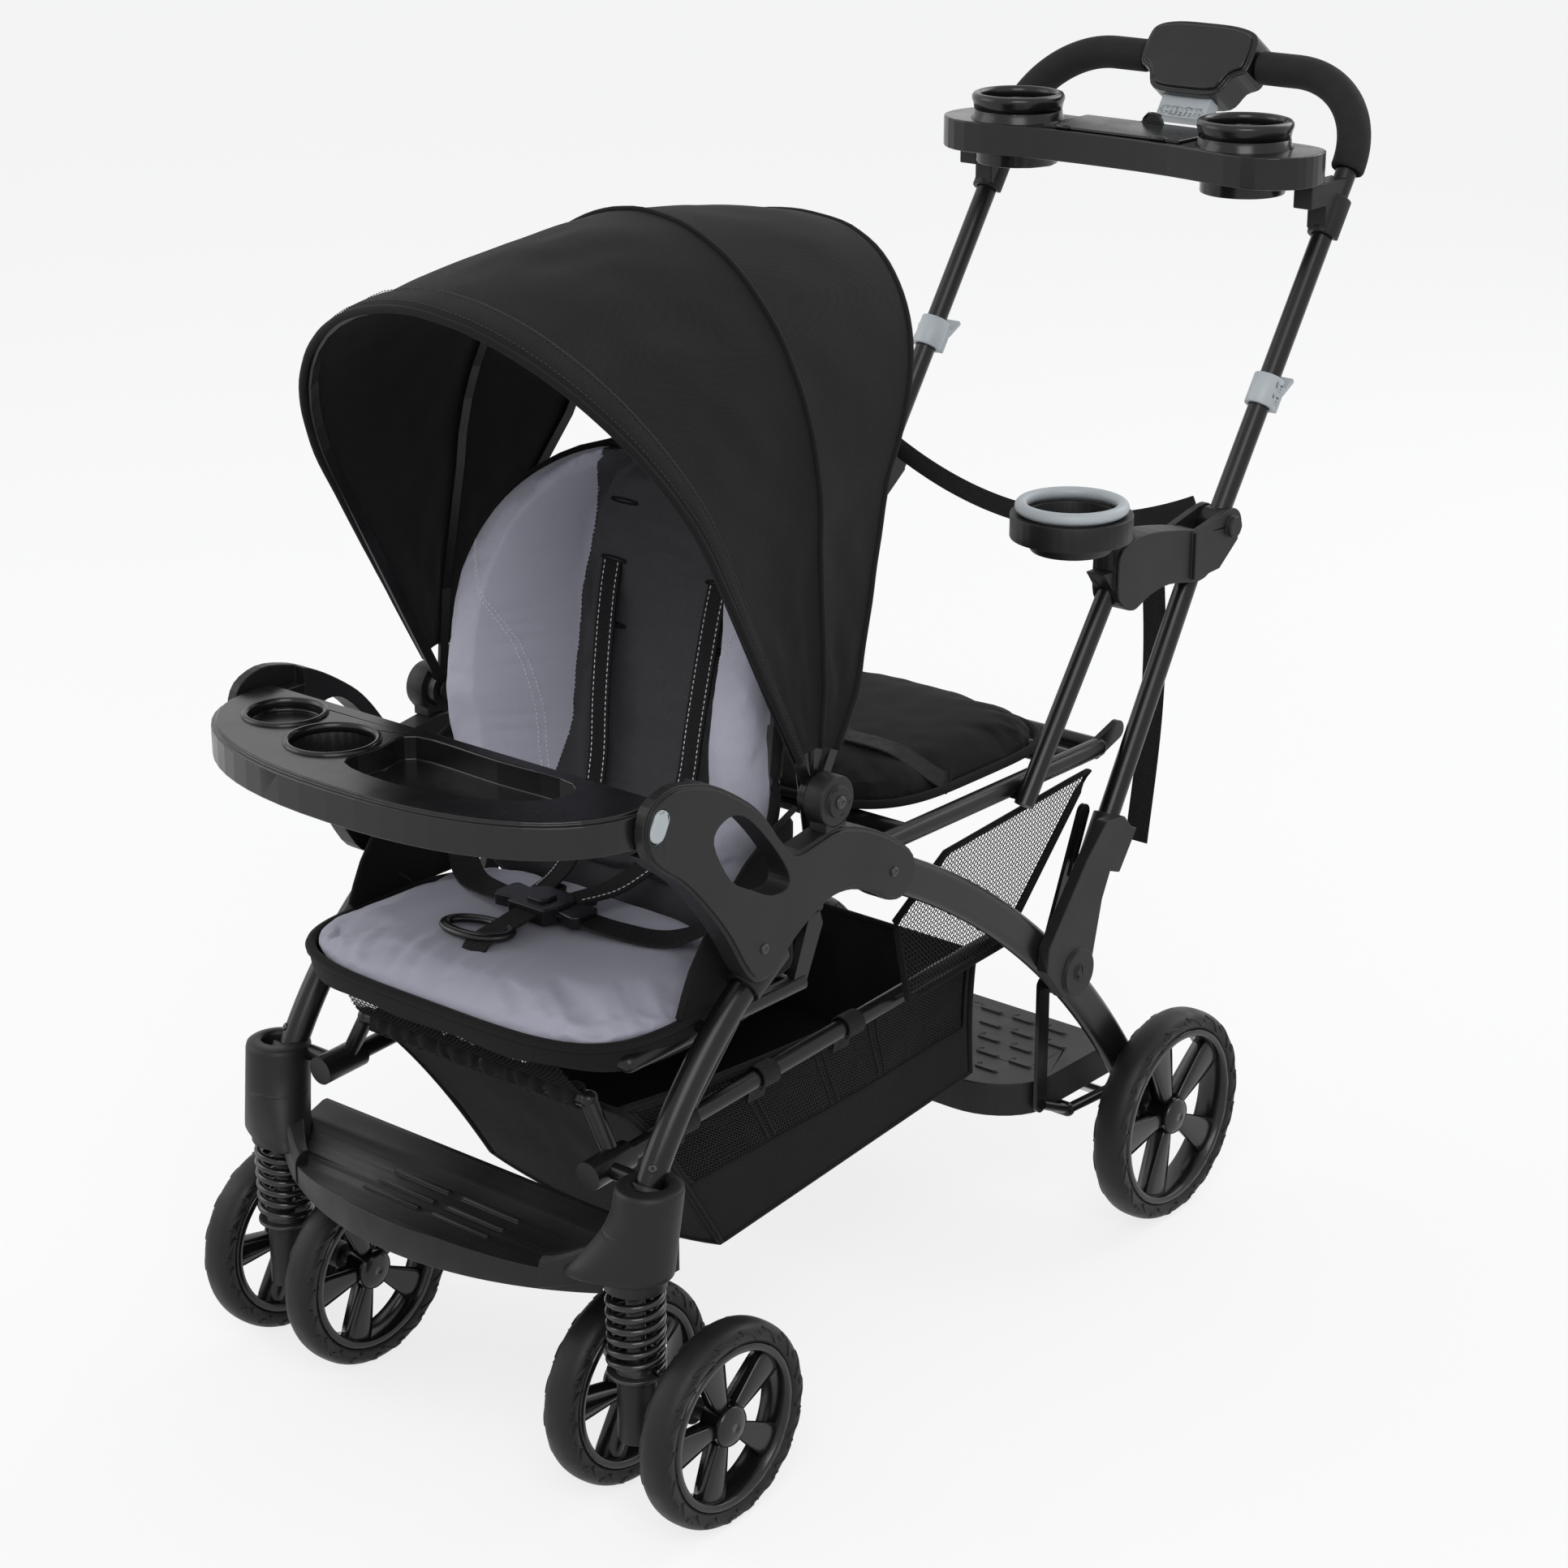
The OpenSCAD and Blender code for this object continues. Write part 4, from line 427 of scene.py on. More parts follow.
# Seat pad: a stuffed cushion in pale grey woven polyester, gathered along its front edge.
# It is sewn closed, bound with black tape all round and tied down on the seat frame.
woven_cloth, given, gives = effect("woven_cloth", {"Threads": 5200.0, "Fade": 9.0})
scaled = put(woven_cloth, "ShaderNodeVectorMath", {0: given["Place"], 3: given["Threads"]},
             operation="SCALE").outputs[0]
waves = put(woven_cloth, "ShaderNodeVectorMath", {0: scaled}, operation="SINE").outputs[0]
warp, weft, pile = put(woven_cloth, "ShaderNodeSeparateXYZ", {0: waves}).outputs
crossing = sum_of(woven_cloth, "MULTIPLY_ADD", weft, pile, sum_of(woven_cloth, "MULTIPLY", warp, weft))
woven_cloth.links.new(sum_of(woven_cloth, "MULTIPLY_ADD", pile, warp, crossing), gives["Height"])
fade = put(woven_cloth, "ShaderNodeTexNoise",
           {"Vector": given["Place"], "Scale": given["Fade"], "Detail": 4.0})
slub = put(woven_cloth, "ShaderNodeTexNoise", {"Vector": given["Place"], "Scale": 700.0, "Detail": 2.0})
woven_cloth.links.new(sum_of(woven_cloth, "MULTIPLY_ADD", slub.outputs[0], 0.45,
                             sum_of(woven_cloth, "MULTIPLY", fade.outputs[0], 0.55)), gives["Mottle"])

grey_cloth = finish("grey_cloth", woven_cloth, {}, (0.3, 0.3, 0.365), (0.42, 0.42, 0.49), (0.62, 0.8),
                    (0.25, 0.0004), **{"Sheen Weight": 0.25, "Sheen Roughness": 0.4})
black_cloth = finish("black_cloth", woven_cloth, {"Threads": 4600.0, "Fade": 5.0}, (0.0058, 0.0052, 0.0056),
                     (0.0125, 0.0112, 0.012), (0.7, 0.9), (0.3, 0.0005),
                     **{"Sheen Weight": 0.03, "Sheen Roughness": 0.5, "Specular IOR Level": 0.12})


def signed_root(v):
    return math.copysign(math.sqrt(abs(v)), v)


def pad_rim(w, l, steps):
    """Rounded outline of a pad, in millimetres about its middle."""
    return [(signed_root(math.cos(2 * math.pi * k / steps)) * w / 2,
             signed_root(math.sin(2 * math.pi * k / steps)) * l / 2) for k in range(steps)]


def pad_cover(w, l, t, mid_y, base_z):
    """Closed cover of a crowned pad on a flat base; low is the share of its height that the rim has."""
    steps, rings, low = 96, 16, 0.3
    rim = pad_rim(w, l, steps)
    levels = [((k / rings) ** 0.8, low + (1 - low) * math.sqrt(max(0, 1 - (k / rings) ** 3.2)))
              for k in range(1, rings + 1)]
    levels.append((0.94, 0.0))
    points = [at(0, mid_y, base_z + t)]
    points += [at(x * r, mid_y + y * r, base_z + t * h) for r, h in levels for x, y in rim]
    last = len(points) - steps
    points.append(at(0, mid_y, base_z))
    faces = [(0, 1 + k, 1 + (k + 1) % steps) for k in range(steps)]
    faces += grid_faces(len(levels), steps, round_columns=True, start=1)
    return points, faces + [(len(points) - 1, last + (k + 1) % steps, last + k) for k in range(steps)]


def apply_modifiers(piece):
    made = bpy.data.meshes.new_from_object(piece.evaluated_get(bpy.context.evaluated_depsgraph_get()))
    piece.modifiers.clear()
    piece.data = made
    return made


def stuff(piece, most, held, voxel=0.005, pressure=4.0):
    """Fills a closed cover by a short cloth simulation under pressure; no point moves further than most."""
    remesh = piece.modifiers.new("cover", "REMESH")
    remesh.mode = "VOXEL"
    remesh.voxel_size = voxel
    before = [v.co.copy() for v in apply_modifiers(piece).vertices]
    pinned = piece.vertex_groups.new(name="held")
    pinned.add([k for k, co in enumerate(before) if held(co)], 1.0, "REPLACE")
    filling = piece.modifiers.new("filling", "CLOTH")
    filling.settings.use_pressure = True
    filling.settings.uniform_pressure_force = pressure
    filling.settings.vertex_group_mass = "held"
    filling.settings.effector_weights.gravity = 0
    for step in range(1, 21):
        bpy.context.scene.frame_set(step)
    after = apply_modifiers(piece).vertices
    bpy.context.scene.frame_set(1)
    piece.vertex_groups.clear()
    for vertex, co in zip(after, before):
        move = vertex.co - co
        vertex.co = co + move * min(1, most / max(move.length, 1e-9))


def ease(piece, levels=1):
    """Smooth shading and a subdivision."""
    piece.data.polygons.foreach_set("use_smooth", [True] * len(piece.data.polygons))
    piece.modifiers.new("rounding", "SUBSURF").levels = levels
    piece.modifiers["rounding"].render_levels = levels


def tree_of(piece):
    made = piece.evaluated_get(bpy.context.evaluated_depsgraph_get()).to_mesh()
    return BVHTree.FromPolygons([v.co.copy() for v in made.vertices],
                                [tuple(p.vertices) for p in made.polygons])


def pipe(name, path, radius, material, slot, body, closed=False, squeeze=1.0, sides=8):
    points, faces = tube_rings(path, radius, sides, closed, squeeze)
    return mesh_piece(name, points, faces, material, slot, body)


seat_w, seat_l, seat_y, seat_z = 368, 248, -619, 398.2
seat_pad = mesh_piece("seat_cushion", *pad_cover(seat_w, seat_l, 31, seat_y, seat_z), grey_cloth,
                      "grey_cloth")
stuff(seat_pad, 0.006, lambda co: co.z < (seat_z + 4) / 1000)
front_edge = at(0, seat_y - seat_l / 2, 0).y
for vertex in seat_pad.data.vertices:
    co = vertex.co
    if co.z > (seat_z + 6) / 1000:
        back = (co.y - front_edge) * 1000
        fan = co.x * 1000 * (1 - 0.0012 * back)
        wide_fold = math.sin(fan / 4.1 + 2.2 * noise.noise((fan / 60, 0, 1)))
        fold = wide_fold + 0.6 * math.sin(fan / 2.6 + 3 * noise.noise((fan / 45, 2, 1)))
        strength = 1.9 * math.exp(-((back - 26) / 30) ** 2) * (0.55 + 0.45 * noise.noise((fan / 35, 5, 0)))
        soft = 2.2 * noise.noise((co.x * 14, co.y * 14, 3)) + 1.1 * noise.noise((co.x * 34, co.y * 20, 7))
        vertex.co.z += (fold * strength + soft) / 1000 * min(1, (co.z * 1000 - seat_z - 6) / 8)
ease(seat_pad)
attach(seat_pad, "front_frame")
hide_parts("seat_pad")
seat_binding = [at(x * 1.012, seat_y + y * 1.014, seat_z + 9 - 5 * max(0, -y / seat_l))
                for x, y in pad_rim(seat_w, seat_l, 120)]
pipe("seat_binding", seat_binding, 0.0048, black_cloth, "black_cloth", "front_frame", closed=True,
     squeeze=0.8)

# Seat skirt and side wings: black cloth sewn to the seat binding, folded down over the front tubes
# and carried up both sides to the side panels, where it is screwed on behind them.
def cloth_piece(name, rows, material, slot, body, thick=0.0012):
    """A piece of cloth over rows of points."""
    points = [p for row in rows for p in row]
    piece = mesh_piece(name, points, grid_faces(len(rows), len(rows[0])), material, slot)
    cloth = piece.modifiers.new("thickness", "SOLIDIFY")
    cloth.thickness = thick
    cloth.offset = 0
    if body:
        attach(piece, body)
    return piece


skirt_rim = [p for p in pad_rim(seat_w, seat_l, 160) if p[1] < 60]
skirt_rim = sorted(skirt_rim, key=lambda p: math.atan2(p[0], -p[1]))
skirt = []
for k in range(6):
    drop = k / 5
    skirt.append([at(x * (1.018 - 0.012 * drop ** 2), seat_y + y * (1.022 - 0.03 * drop ** 2),
                     seat_z + 8 - 22 * drop + 1.5 * math.sin(x / 17) * drop) for x, y in skirt_rim])
seat_skirt = cloth_piece("seat_skirt", skirt, black_cloth, "black_cloth", "front_frame")
wing_x, wing_foot = 187.6, 408
wing_edge = [(-650, 413), (-643, 430), (-634, 448), (-618, 469), (-596, 492), (-566, 518), (-534, 538),
             (-505, 550)]
for side, hand in both_hands:
    rows = []
    for k in range(8):
        t = k / 7
        rows.append([at(side * (wing_x - 2.2 * math.sin(math.pi * t)), y, wing_foot + (z - wing_foot) * t)
                     for y, z in wing_edge])
    wing = cloth_piece("seat_wing_" + hand, rows, black_cloth, "black_cloth", "front_frame")
    ease(wing)
    pipe("seat_wing_tape_" + hand, [at(side * wing_x, y, z) for y, z in wing_edge], 0.0026, black_cloth,
         "black_cloth", "front_frame")

# Backrest pad: two pale grey stuffed bolsters and a charcoal twill middle, sewn together along two seams.
# It is bound with black tape, has slots for the harness at three heights, and is laced to the backrest tubes.
back_w, back_h, back_lean = 314, 364, math.radians(6)
back_y, back_z = -474, 437.8


def seam_at(z):
    """Half width of the middle panel at a height on the pad: straight below, drawn in to the top."""
    return 92.5 - 40 * (max(0, z - 150) / 214) ** 3


seam_line = [(z, seam_at(z)) for z in (0, 150, 190, 220, 245, 270, 290, 310, 330, 350, 372)]


def on_back(x, y, z):
    c, s = math.cos(back_lean), math.sin(back_lean)
    return at(x, back_y + y * c + z * s, back_z - y * s + z * c)


def off_back(co):
    c, s = math.cos(back_lean), math.sin(back_lean)
    y, z = (co.y - axle_y) * 1000 - back_y, co.z * 1000 - back_z
    return co.x * 1000, y * c - z * s, y * s + z * c


def back_taper(t):
    rise = 0.5 - 0.5 * math.cos(math.pi * min(1, max(0, (t - 0.08) / 0.26)))
    return (1 + 0.121 * rise) * (1 if t < 0.55 else math.sqrt(max(0, 1 - ((t - 0.55) / 0.47) ** 2.5)))


def back_faces(u, t):
    """Depth of the front and of the back of the pad, at a share u of its half width and t of its height."""
    bolster = 80 * (1 - (abs(t - 0.43) / 0.66) ** 2)
    swell = math.sin(math.radians(240 * (u - 0.52))) * (1 - 0.25 * u ** 16) if u > 0.52 else 0
    hollow = math.sin(math.radians(180 * (u - 0.5))) ** 2 if u > 0.5 else 0
    seam = 4 * math.exp(-((u - 0.53) / 0.06) ** 2) * (1 - t ** 8)
    belly = 26 * math.sin(math.radians(200 * t)) if t < 0.45 else 26 - 12 * ((t - 0.45) / 0.55) ** 2
    middle = 1 if u < 0.5 else max(0, 1 - (u - 0.5) / 0.3)
    half_thick = 19 - 9 * t ** 16
    return -half_thick + belly * middle - bolster * swell + seam, half_thick - 0.85 * bolster * hollow


twill_cloth = finish("twill_cloth", woven_cloth, {"Threads": 3800.0, "Fade": 11.0}, (0.028, 0.027, 0.031),
                     (0.058, 0.057, 0.064), (0.55, 0.75), (0.35, 0.0006),
                     **{"Sheen Weight": 0.1, "Sheen Roughness": 0.4, "Specular IOR Level": 0.25})
columns, levels = 49, 37
rows_front, rows_rear = [], []
for i in range(levels):
    t = 1 - (1 - i / (levels - 1)) ** 1.35
    shares = [2 * j / (columns - 1) - 1 for j in range(columns)]
    rows_front.append([on_back(u * back_w / 2 * back_taper(t), back_faces(abs(u), t)[0], back_h * t)
                       for u in shares])
    rows_rear.append([on_back(u * back_w / 2 * back_taper(t), back_faces(abs(u), t)[1], back_h * t)
                      for u in shares])
sheet = columns * levels
faces = grid_faces(levels, columns) + [tuple(sheet + k for k in f) for f in grid_faces(levels, columns)]
rim = list(range(columns)) + [i * columns + columns - 1 for i in range(1, levels)]
rim += [(levels - 1) * columns + j for j in range(columns - 2, -1, -1)]
rim += [i * columns for i in range(levels - 2, 0, -1)]
faces += [(p, q, q + sheet, p + sheet) for p, q in zip(rim, rim[1:] + rim[:1])]
backrest = mesh_piece("backrest_cushion", [p for row in rows_front + rows_rear for p in row], faces,
                      grey_cloth, "grey_cloth")
stuff(backrest, 0.005, lambda co: off_back(co)[1] > 9, voxel=0.004)
backrest.data.materials.append(twill_cloth)
for vertex in backrest.data.vertices:
    x, y, z = off_back(vertex.co)
    t = min(0.995, max(0, z / back_h))
    u = abs(x) / (back_w / 2 * back_taper(t))
    front, rear = back_faces(min(1, u), t)
    if y < (front + rear) / 2 and u < 0.95:
        tightness = 0.6 + 0.8 * noise.noise((z / 26, 3, 0))
        gathers = math.sin(z / 2.4 + 4 * noise.noise((z / 30, x / 60, 0))) * tightness
        pull = 2.8 * math.exp(-((u - 0.64) / 0.08) ** 2) * gathers
        dent = 2.4 * noise.noise((x / 55, z / 42, 4)) + 1.1 * noise.noise((x / 26, z / 15, 9))
        if u < 0.5:
            dent = 3.0 * noise.noise((x / 60, z / 34, 4)) + 1.7 * noise.noise((x / 34, z / 11, 9))
        vertex.co.y += (pull * max(0, 1 - abs(t - 0.52) / 0.4) + dent) / 1000
cut = bmesh.new()
cut.from_mesh(backrest.data)
for side in (1, -1):
    for (low, a), (high, b) in zip(seam_line, seam_line[1:]):
        band = [f for f in cut.faces if low - 4 < off_back(f.calc_center_median())[2] < high + 4]
        band += list({e for f in band for e in f.edges}) + list({v for f in band for v in f.verts})
        across = (on_back(high - low, 0, side * (a - b)) - on_back(0, 0, 0)).normalized()
        bmesh.ops.bisect_plane(cut, geom=band, plane_co=on_back(side * a, 0, low), plane_no=across)
cut.to_mesh(backrest.data)
cut.free()
for polygon in backrest.data.polygons:
    x, y, z = off_back(polygon.center)
    t = min(0.995, max(0, z / back_h))
    front, rear = back_faces(min(1, abs(x) / (back_w / 2 * back_taper(t))), t)
    if abs(x) < seam_at(z) or y > (front + rear) / 2:
        polygon.material_index = 1
ease(backrest)
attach(backrest, "backrest")
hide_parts("backrest_pad")
edge = [on_back(back_w / 2 * back_taper(t) * 1.008 + 3, sum(back_faces(1, t)) / 2, back_h * t)
        for t in [k / 40 for k in range(41)]]
edge += [on_back(56 - 5.6 * k, sum(back_faces(1, 1)) / 2, back_h * 1.004 + 2) for k in range(1, 20)]
edge += [Vector((-p.x, p.y, p.z)) for p in reversed(edge[:41])]
pipe("backrest_tape", edge, 0.0048, black_cloth, "black_cloth", "backrest")
apron_rows = []
for k in range(9):
    t = k / 8
    row = []
    for j in range(33):
        x = 150 * (j / 16 - 1)
        top = on_back(x, back_faces(abs(x) / 157, 0.03)[0] + 8, 11)
        foot = at(x, -497 - 4 * math.sin(j * 0.9), 404)
        row.append(top.lerp(foot, t)
                   + Vector((0, -0.005, 0)) * math.sin(math.pi * t) * (1 + 0.4 * math.sin(j * 1.3)))
    apron_rows.append(row)
back_apron = cloth_piece("backrest_apron", apron_rows, twill_cloth, "black_cloth", None)
ease(back_apron)
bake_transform(back_apron)
back_surface = tree_of(backrest)


def on_cushion(x, z):
    """Where a straight line from the front meets the backrest, and the normal there."""
    start, through = on_back(x, -160, z), on_back(x, 0, z)
    spot, normal, _, _ = back_surface.ray_cast(start, (through - start).normalized())
    return (spot, normal) if spot else (on_back(x, -20, z), Vector((0, -1, 0)))


def spaced(path, step):
    """Points at equal steps along a path."""
    out, left = [path[0]], step
    for a, b in zip(path, path[1:]):
        run = (b - a).length
        while run >= left:
            a = a + (b - a).normalized() * left
            run -= left
            left = step
            out.append(a)
        left -= run
    return out


def stitching(name, paths, material, slot, body, pitch=0.0042, thread=0.0004):
    """Rows of single stitches along paths, each a short spindle of thread."""
    shapes = []
    for path in paths:
        dots = spaced(path, pitch / 3)
        for k in range(0, len(dots) - 2, 3):
            a, b = dots[k], dots[k + 2]
            shapes.append(tube_rings([a, (a + b) / 2, b], [thread * 0.5, thread, thread * 0.5], 5))
    points, faces = gather(*shapes)
    return mesh_piece(name, points, faces, material, slot, body)


pale_thread = finish("pale_thread", woven_cloth, {"Threads": 9000.0}, (0.62, 0.62, 0.66), (0.8, 0.8, 0.84),
                     (0.5, 0.7), (0.2, 0.0002))
arcs = []
for side in (1, -1):
    for shift in (0, 3):
        arc = []
        for k in range(41):
            t = 0.745 - 0.68 * k / 40
            u = 0.59 + 0.365 * max(0, (t - 0.13) / 0.615) ** 3.4 - shift / 176
            spot, normal = on_cushion(side * u * back_w / 2 * back_taper(t), back_h * (t - shift * 0.0009))
            arc.append(spot + normal * 0.0003)
        arcs.append(arc)
stitching("bolster_stitching", arcs, pale_thread, "grey_cloth", "backrest")
black_thread = finish("black_thread", woven_cloth, {"Threads": 9000.0}, (0.006, 0.006, 0.006),
                      (0.014, 0.014, 0.014), (0.6, 0.8), (0.2, 0.0002))
seams = []
for side in (1, -1):
    heights = [back_h * k / 60 for k in range(3, 57)]
    seams.append([on_cushion(side * seam_at(z), z)[0] for z in heights])
stitching("middle_seams", seams, black_thread, "black_cloth", "backrest", thread=0.0007)
welts = []
for side in (1, -1):
    for x, z in ((60, 207), (60, 264), (50, 316)):
        loop = []
        for k in range(24):
            turn = 2 * math.pi * k / 24
            spot, normal = on_cushion(side * x + 15 * math.cos(turn), z + 1.8 * math.sin(turn))
            loop.append(spot + normal * 0.0002)
        welts.append(tube_rings(loop, 0.0011, 6, closed=True, up=Vector((0, -1, 0.1))))
mesh_piece("harness_slots", *gather(*welts), black_cloth, "black_cloth", "backrest")

# Harness: two shoulder straps, two waist belts and a crotch strap in black polyester webbing.
# The straps have pale stitched edges and hang from the backrest slots to a moulded buckle on the seat.
webbing_ribs, given, gives = effect("webbing_ribs", {"Ribs": 3600.0})
across, along, _ = put(webbing_ribs, "ShaderNodeSeparateXYZ", {0: given["Place"]}).outputs
ribs = sum_of(webbing_ribs, "SINE", sum_of(webbing_ribs, "MULTIPLY", along, given["Ribs"]), 0.0)
strands = sum_of(webbing_ribs, "SINE", sum_of(webbing_ribs, "MULTIPLY", across, 4200.0), 0.0)
webbing_ribs.links.new(sum_of(webbing_ribs, "MULTIPLY_ADD", ribs, 0.7,
                              sum_of(webbing_ribs, "MULTIPLY", strands, 0.3)), gives["Height"])
shade = put(webbing_ribs, "ShaderNodeTexNoise", {"Vector": given["Place"], "Scale": 90.0, "Detail": 5.0})
webbing_ribs.links.new(shade.outputs[0], gives["Mottle"])
black_webbing = finish("black_webbing", webbing_ribs, {}, (0.004, 0.004, 0.0042), (0.011, 0.011, 0.0115),
                       (0.5, 0.7), (0.6, 0.0006), place="UV", **{"Specular IOR Level": 0.2})


def webbing(name, runs, width, body, thick=0.0015, material=black_webbing):
    """Flat straps: each run is a list of (point, face normal); UVs run across and along it in metres."""
    points, faces, marks = [], [], []
    for run in runs:
        start, length = len(points), 0.0
        for i, (p, n) in enumerate(run):
            ahead, behind = run[min(i + 1, len(run) - 1)][0], run[max(i - 1, 0)][0]
            side = (ahead - behind).cross(n).normalized() * width / 2
            lift = n.normalized() * thick
            points += [p - side, p - side * 0.94 + lift, p + side * 0.94 + lift, p + side]
            length += (p - run[i - 1][0]).length if i else 0
            marks += [(0, length), (width * 0.03, length), (width * 0.97, length), (width, length)]
        count = len(run)
        faces += grid_faces(count, 4, round_columns=True, start=start)
        faces += [tuple(range(start, start + 4)), tuple(range(start + 4 * count - 4, start + 4 * count))]
    piece = mesh_piece(name, points, faces, material, "webbing", body, smooth=False)
    layer = piece.data.uv_layers.new(name="weave").data
    for loop in piece.data.loops:
        layer[loop.index].uv = marks[loop.vertex_index]
    return piece


def rounded_run(corners, normals, steps=8):
    """A smooth run of webbing through corner points, with the face normals turned along it."""
    run = []
    last = len(corners) - 1
    for i in range(last):
        a, b, c, d = (corners[max(i - 1, 0)], corners[i], corners[i + 1], corners[min(i + 2, last)])
        for k in range(steps + (i == last - 1)):
            t = k / steps
            p = 0.5 * (2 * b + (c - a) * t + (2 * a - 5 * b + 4 * c - d) * t * t
                       + (3 * b - a - 3 * c + d) * t ** 3)
            run.append((p, normals[i].lerp(normals[i + 1], t)))
    return run


buckle_y, buckle_z = -606, 444
strap_hang = [(58.5, -457, 672), (56.5, -466, 630), (53.5, -475, 580), (50, -483, 530), (45, -503, 482),
              (32, -548, 456), (18, -590, buckle_z + 8)]
shoulder, dots = [], []
for side in (1, -1):
    face = (on_back(0, -1, 0) - on_back(0, 0, 0)).normalized()
    corners = [on_cushion(side * 60, 263)[0] + face * 0.001]
    corners += [at(side * x, y, z) for x, y, z in strap_hang]
    run = rounded_run(corners, [face] * (len(corners) - 2)
                      + [(face + Vector((0, 0, 1))).normalized(), Vector((0, -0.2, 1))])
    shoulder.append(run)
    for edge in (-7.4, 7.4):
        dots.append([p + Vector((side * edge / 1000, 0, 0)) + n.normalized() * 0.0016 for p, n in run])
straps = webbing("shoulder_straps", shoulder, 0.022, None)
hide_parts("harness_straps")
strap_dots = stitching("strap_stitching", dots, pale_thread, "webbing", None, pitch=0.0048, thread=0.00055)
for piece in (straps, strap_dots):
    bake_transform(piece)
belts = []
for side in (1, -1):
    corners = [at(side * 22, buckle_y, buckle_z + 5), at(side * 70, -596, buckle_z - 3),
               at(side * 120, -575, buckle_z - 4), at(side * 172, -535, buckle_z + 26)]
    belts.append(rounded_run(corners, [Vector((0, 0, 1)), Vector((0, -0.1, 1)), Vector((0, -0.2, 1)),
                                       Vector((-side, -0.5, 0.6))]))
crotch = [at(0, -628, buckle_z + 4), at(0, -655, buckle_z), at(-2, -680, buckle_z - 5),
          at(-2, -690, buckle_z - 16)]
belts.append(rounded_run(crotch, [Vector((0, 0, 1))] * 3 + [Vector((0, -1, 0.3))]))
waist = webbing("waist_belts", belts, 0.026, "front_frame")


def slab(outline, low, high, place):
    """A prism of an (x, y) outline from low to high, with each corner set by place."""
    count = len(outline)
    points = [place(x, y, low) for x, y in outline] + [place(x, y, high) for x, y in outline]
    faces = [tuple(range(count)), tuple(range(count, 2 * count))]
    return points, faces + [(k, (k + 1) % count, count + (k + 1) % count, count + k) for k in range(count)]


def moulding(name, shapes, material, slot, body, round_edge=0.0015):
    piece = mesh_piece(name, *gather(*shapes), material, slot, body, smooth=False)
    bevel = piece.modifiers.new("eased_edges", "BEVEL")
    bevel.width, bevel.segments = round_edge, 3
    bevel.limit_method = "ANGLE"
    bevel.harden_normals = True
    return piece


def on_seat(x, y, z):
    return at(x, buckle_y + y, buckle_z + z)


body_outline = [(-25, -8), (-20, -22), (20, -22), (25, -8), (25, 12), (15, 22), (-15, 22), (-25, 12)]
button = [(-11, -6), (-8, -12), (8, -12), (11, -6), (11, 6), (-11, 6)]
latch = [(22, -10), (44, -13), (48, -8), (48, 14), (44, 18), (22, 14)]
hook = [(9, 18), (26, 18), (29, 34), (24, 40), (11, 40), (7, 34)]
latches = [slab([(s * x, y) for x, y in latch], -3, 8, on_seat) for s in (1, -1)]
hooks = [slab([(s * x, y) for x, y in hook], 0, 7, on_seat) for s in (1, -1)]
buckle = moulding("harness_buckle_body",
                  [slab(body_outline, -4, 11, on_seat), slab(button, 10, 14, on_seat)] + latches + hooks,
                  gloss_black, "black_plastic", "front_frame")
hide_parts("harness_buckle")
turns = [k * math.pi / 16 for k in range(32)]
loop = [on_seat(34 * math.cos(a) - 20, 17 * math.sin(a) - 58, 2 * math.cos(a) - 3) for a in turns]
pipe("crotch_loop", loop, 0.0052, gloss_black, "black_plastic", "front_frame", closed=True, squeeze=0.7)

# Canopy: one sheet of black polyester stretched over three bent bows and sagging a little between them.
# A padded hem is sewn round the front bow, a piped seam lies on the middle bow and tape binds the rear edge.
canopy_y, canopy_z = -509, 568
bows = {"front": (62, 0, 207, 455, 0.55, 1.9), "middle": (95, 1, 198, 438, 0.46, 1.95),
        "rear": (119.5, 2, 174, 470, 0.56, 2.25)}


def canopy_line(angle, layer, half, reach, rise, power, off, low, steps=96):
    """The cloth's line over one bow or between two, from the right pivot over the top to the left one."""
    foot, crown = 207.5 + 3.3 * layer + off, reach + off
    spring = rise * reach
    flat = [(foot, low), (foot, 90)]
    for k in range(0, 91):
        a = math.radians(2 * k)
        flat.append((math.copysign(abs(math.cos(a)) ** (2 / power), math.cos(a)) * (half + off),
                     spring + (crown - spring) * math.sin(a) ** (2 / power)))
    flat += [(-x, p) for x, p in reversed(flat[:2])]
    c, s = math.cos(math.radians(angle)), math.sin(math.radians(angle))
    path = [at(x, canopy_y - p * c, canopy_z + p * s) for x, p in flat]
    length = sum((b - a).length for a, b in zip(path, path[1:]))
    return (spaced(path, length / (steps + 0.001)) + [path[-1]])[:steps + 1]


def canopy_between(angle, off=3.1, low=40):
    """The line at any angle, with the bows' values mixed and the sag of the cloth between them."""
    order = [bows["front"], bows["middle"], bows["rear"]]
    first = 0 if angle <= order[1][0] else 1
    a, b = order[first], order[first + 1]
    t = (angle - a[0]) / (b[0] - a[0])
    mixed = [p + (q - p) * t for p, q in zip(a, b)]
    sag = max(0, math.sin(math.pi * min(1, max(0, t)))) ** 0.8 * (13, 7)[first]
    line = canopy_line(angle, mixed[1], mixed[2], mixed[3], mixed[4], mixed[5], off, low)
    for k, p in enumerate(line):
        u = k / (len(line) - 1)
        high = math.sin(math.pi * u) ** 0.7
        out = Vector((p.x, p.y - at(0, canopy_y, 0).y, p.z - canopy_z / 1000))
        crease = 2.4 * noise.noise((p.x * 9, angle / 9 + u * 7, u * 20))
        crease += 1.3 * noise.noise((p.x * 22, angle / 5 - u * 9, u * 48))
        line[k] = p - out.normalized() * (sag * high - crease * min(1, 3 * high) * (0.35 + sag / 13)) / 1000
    return line


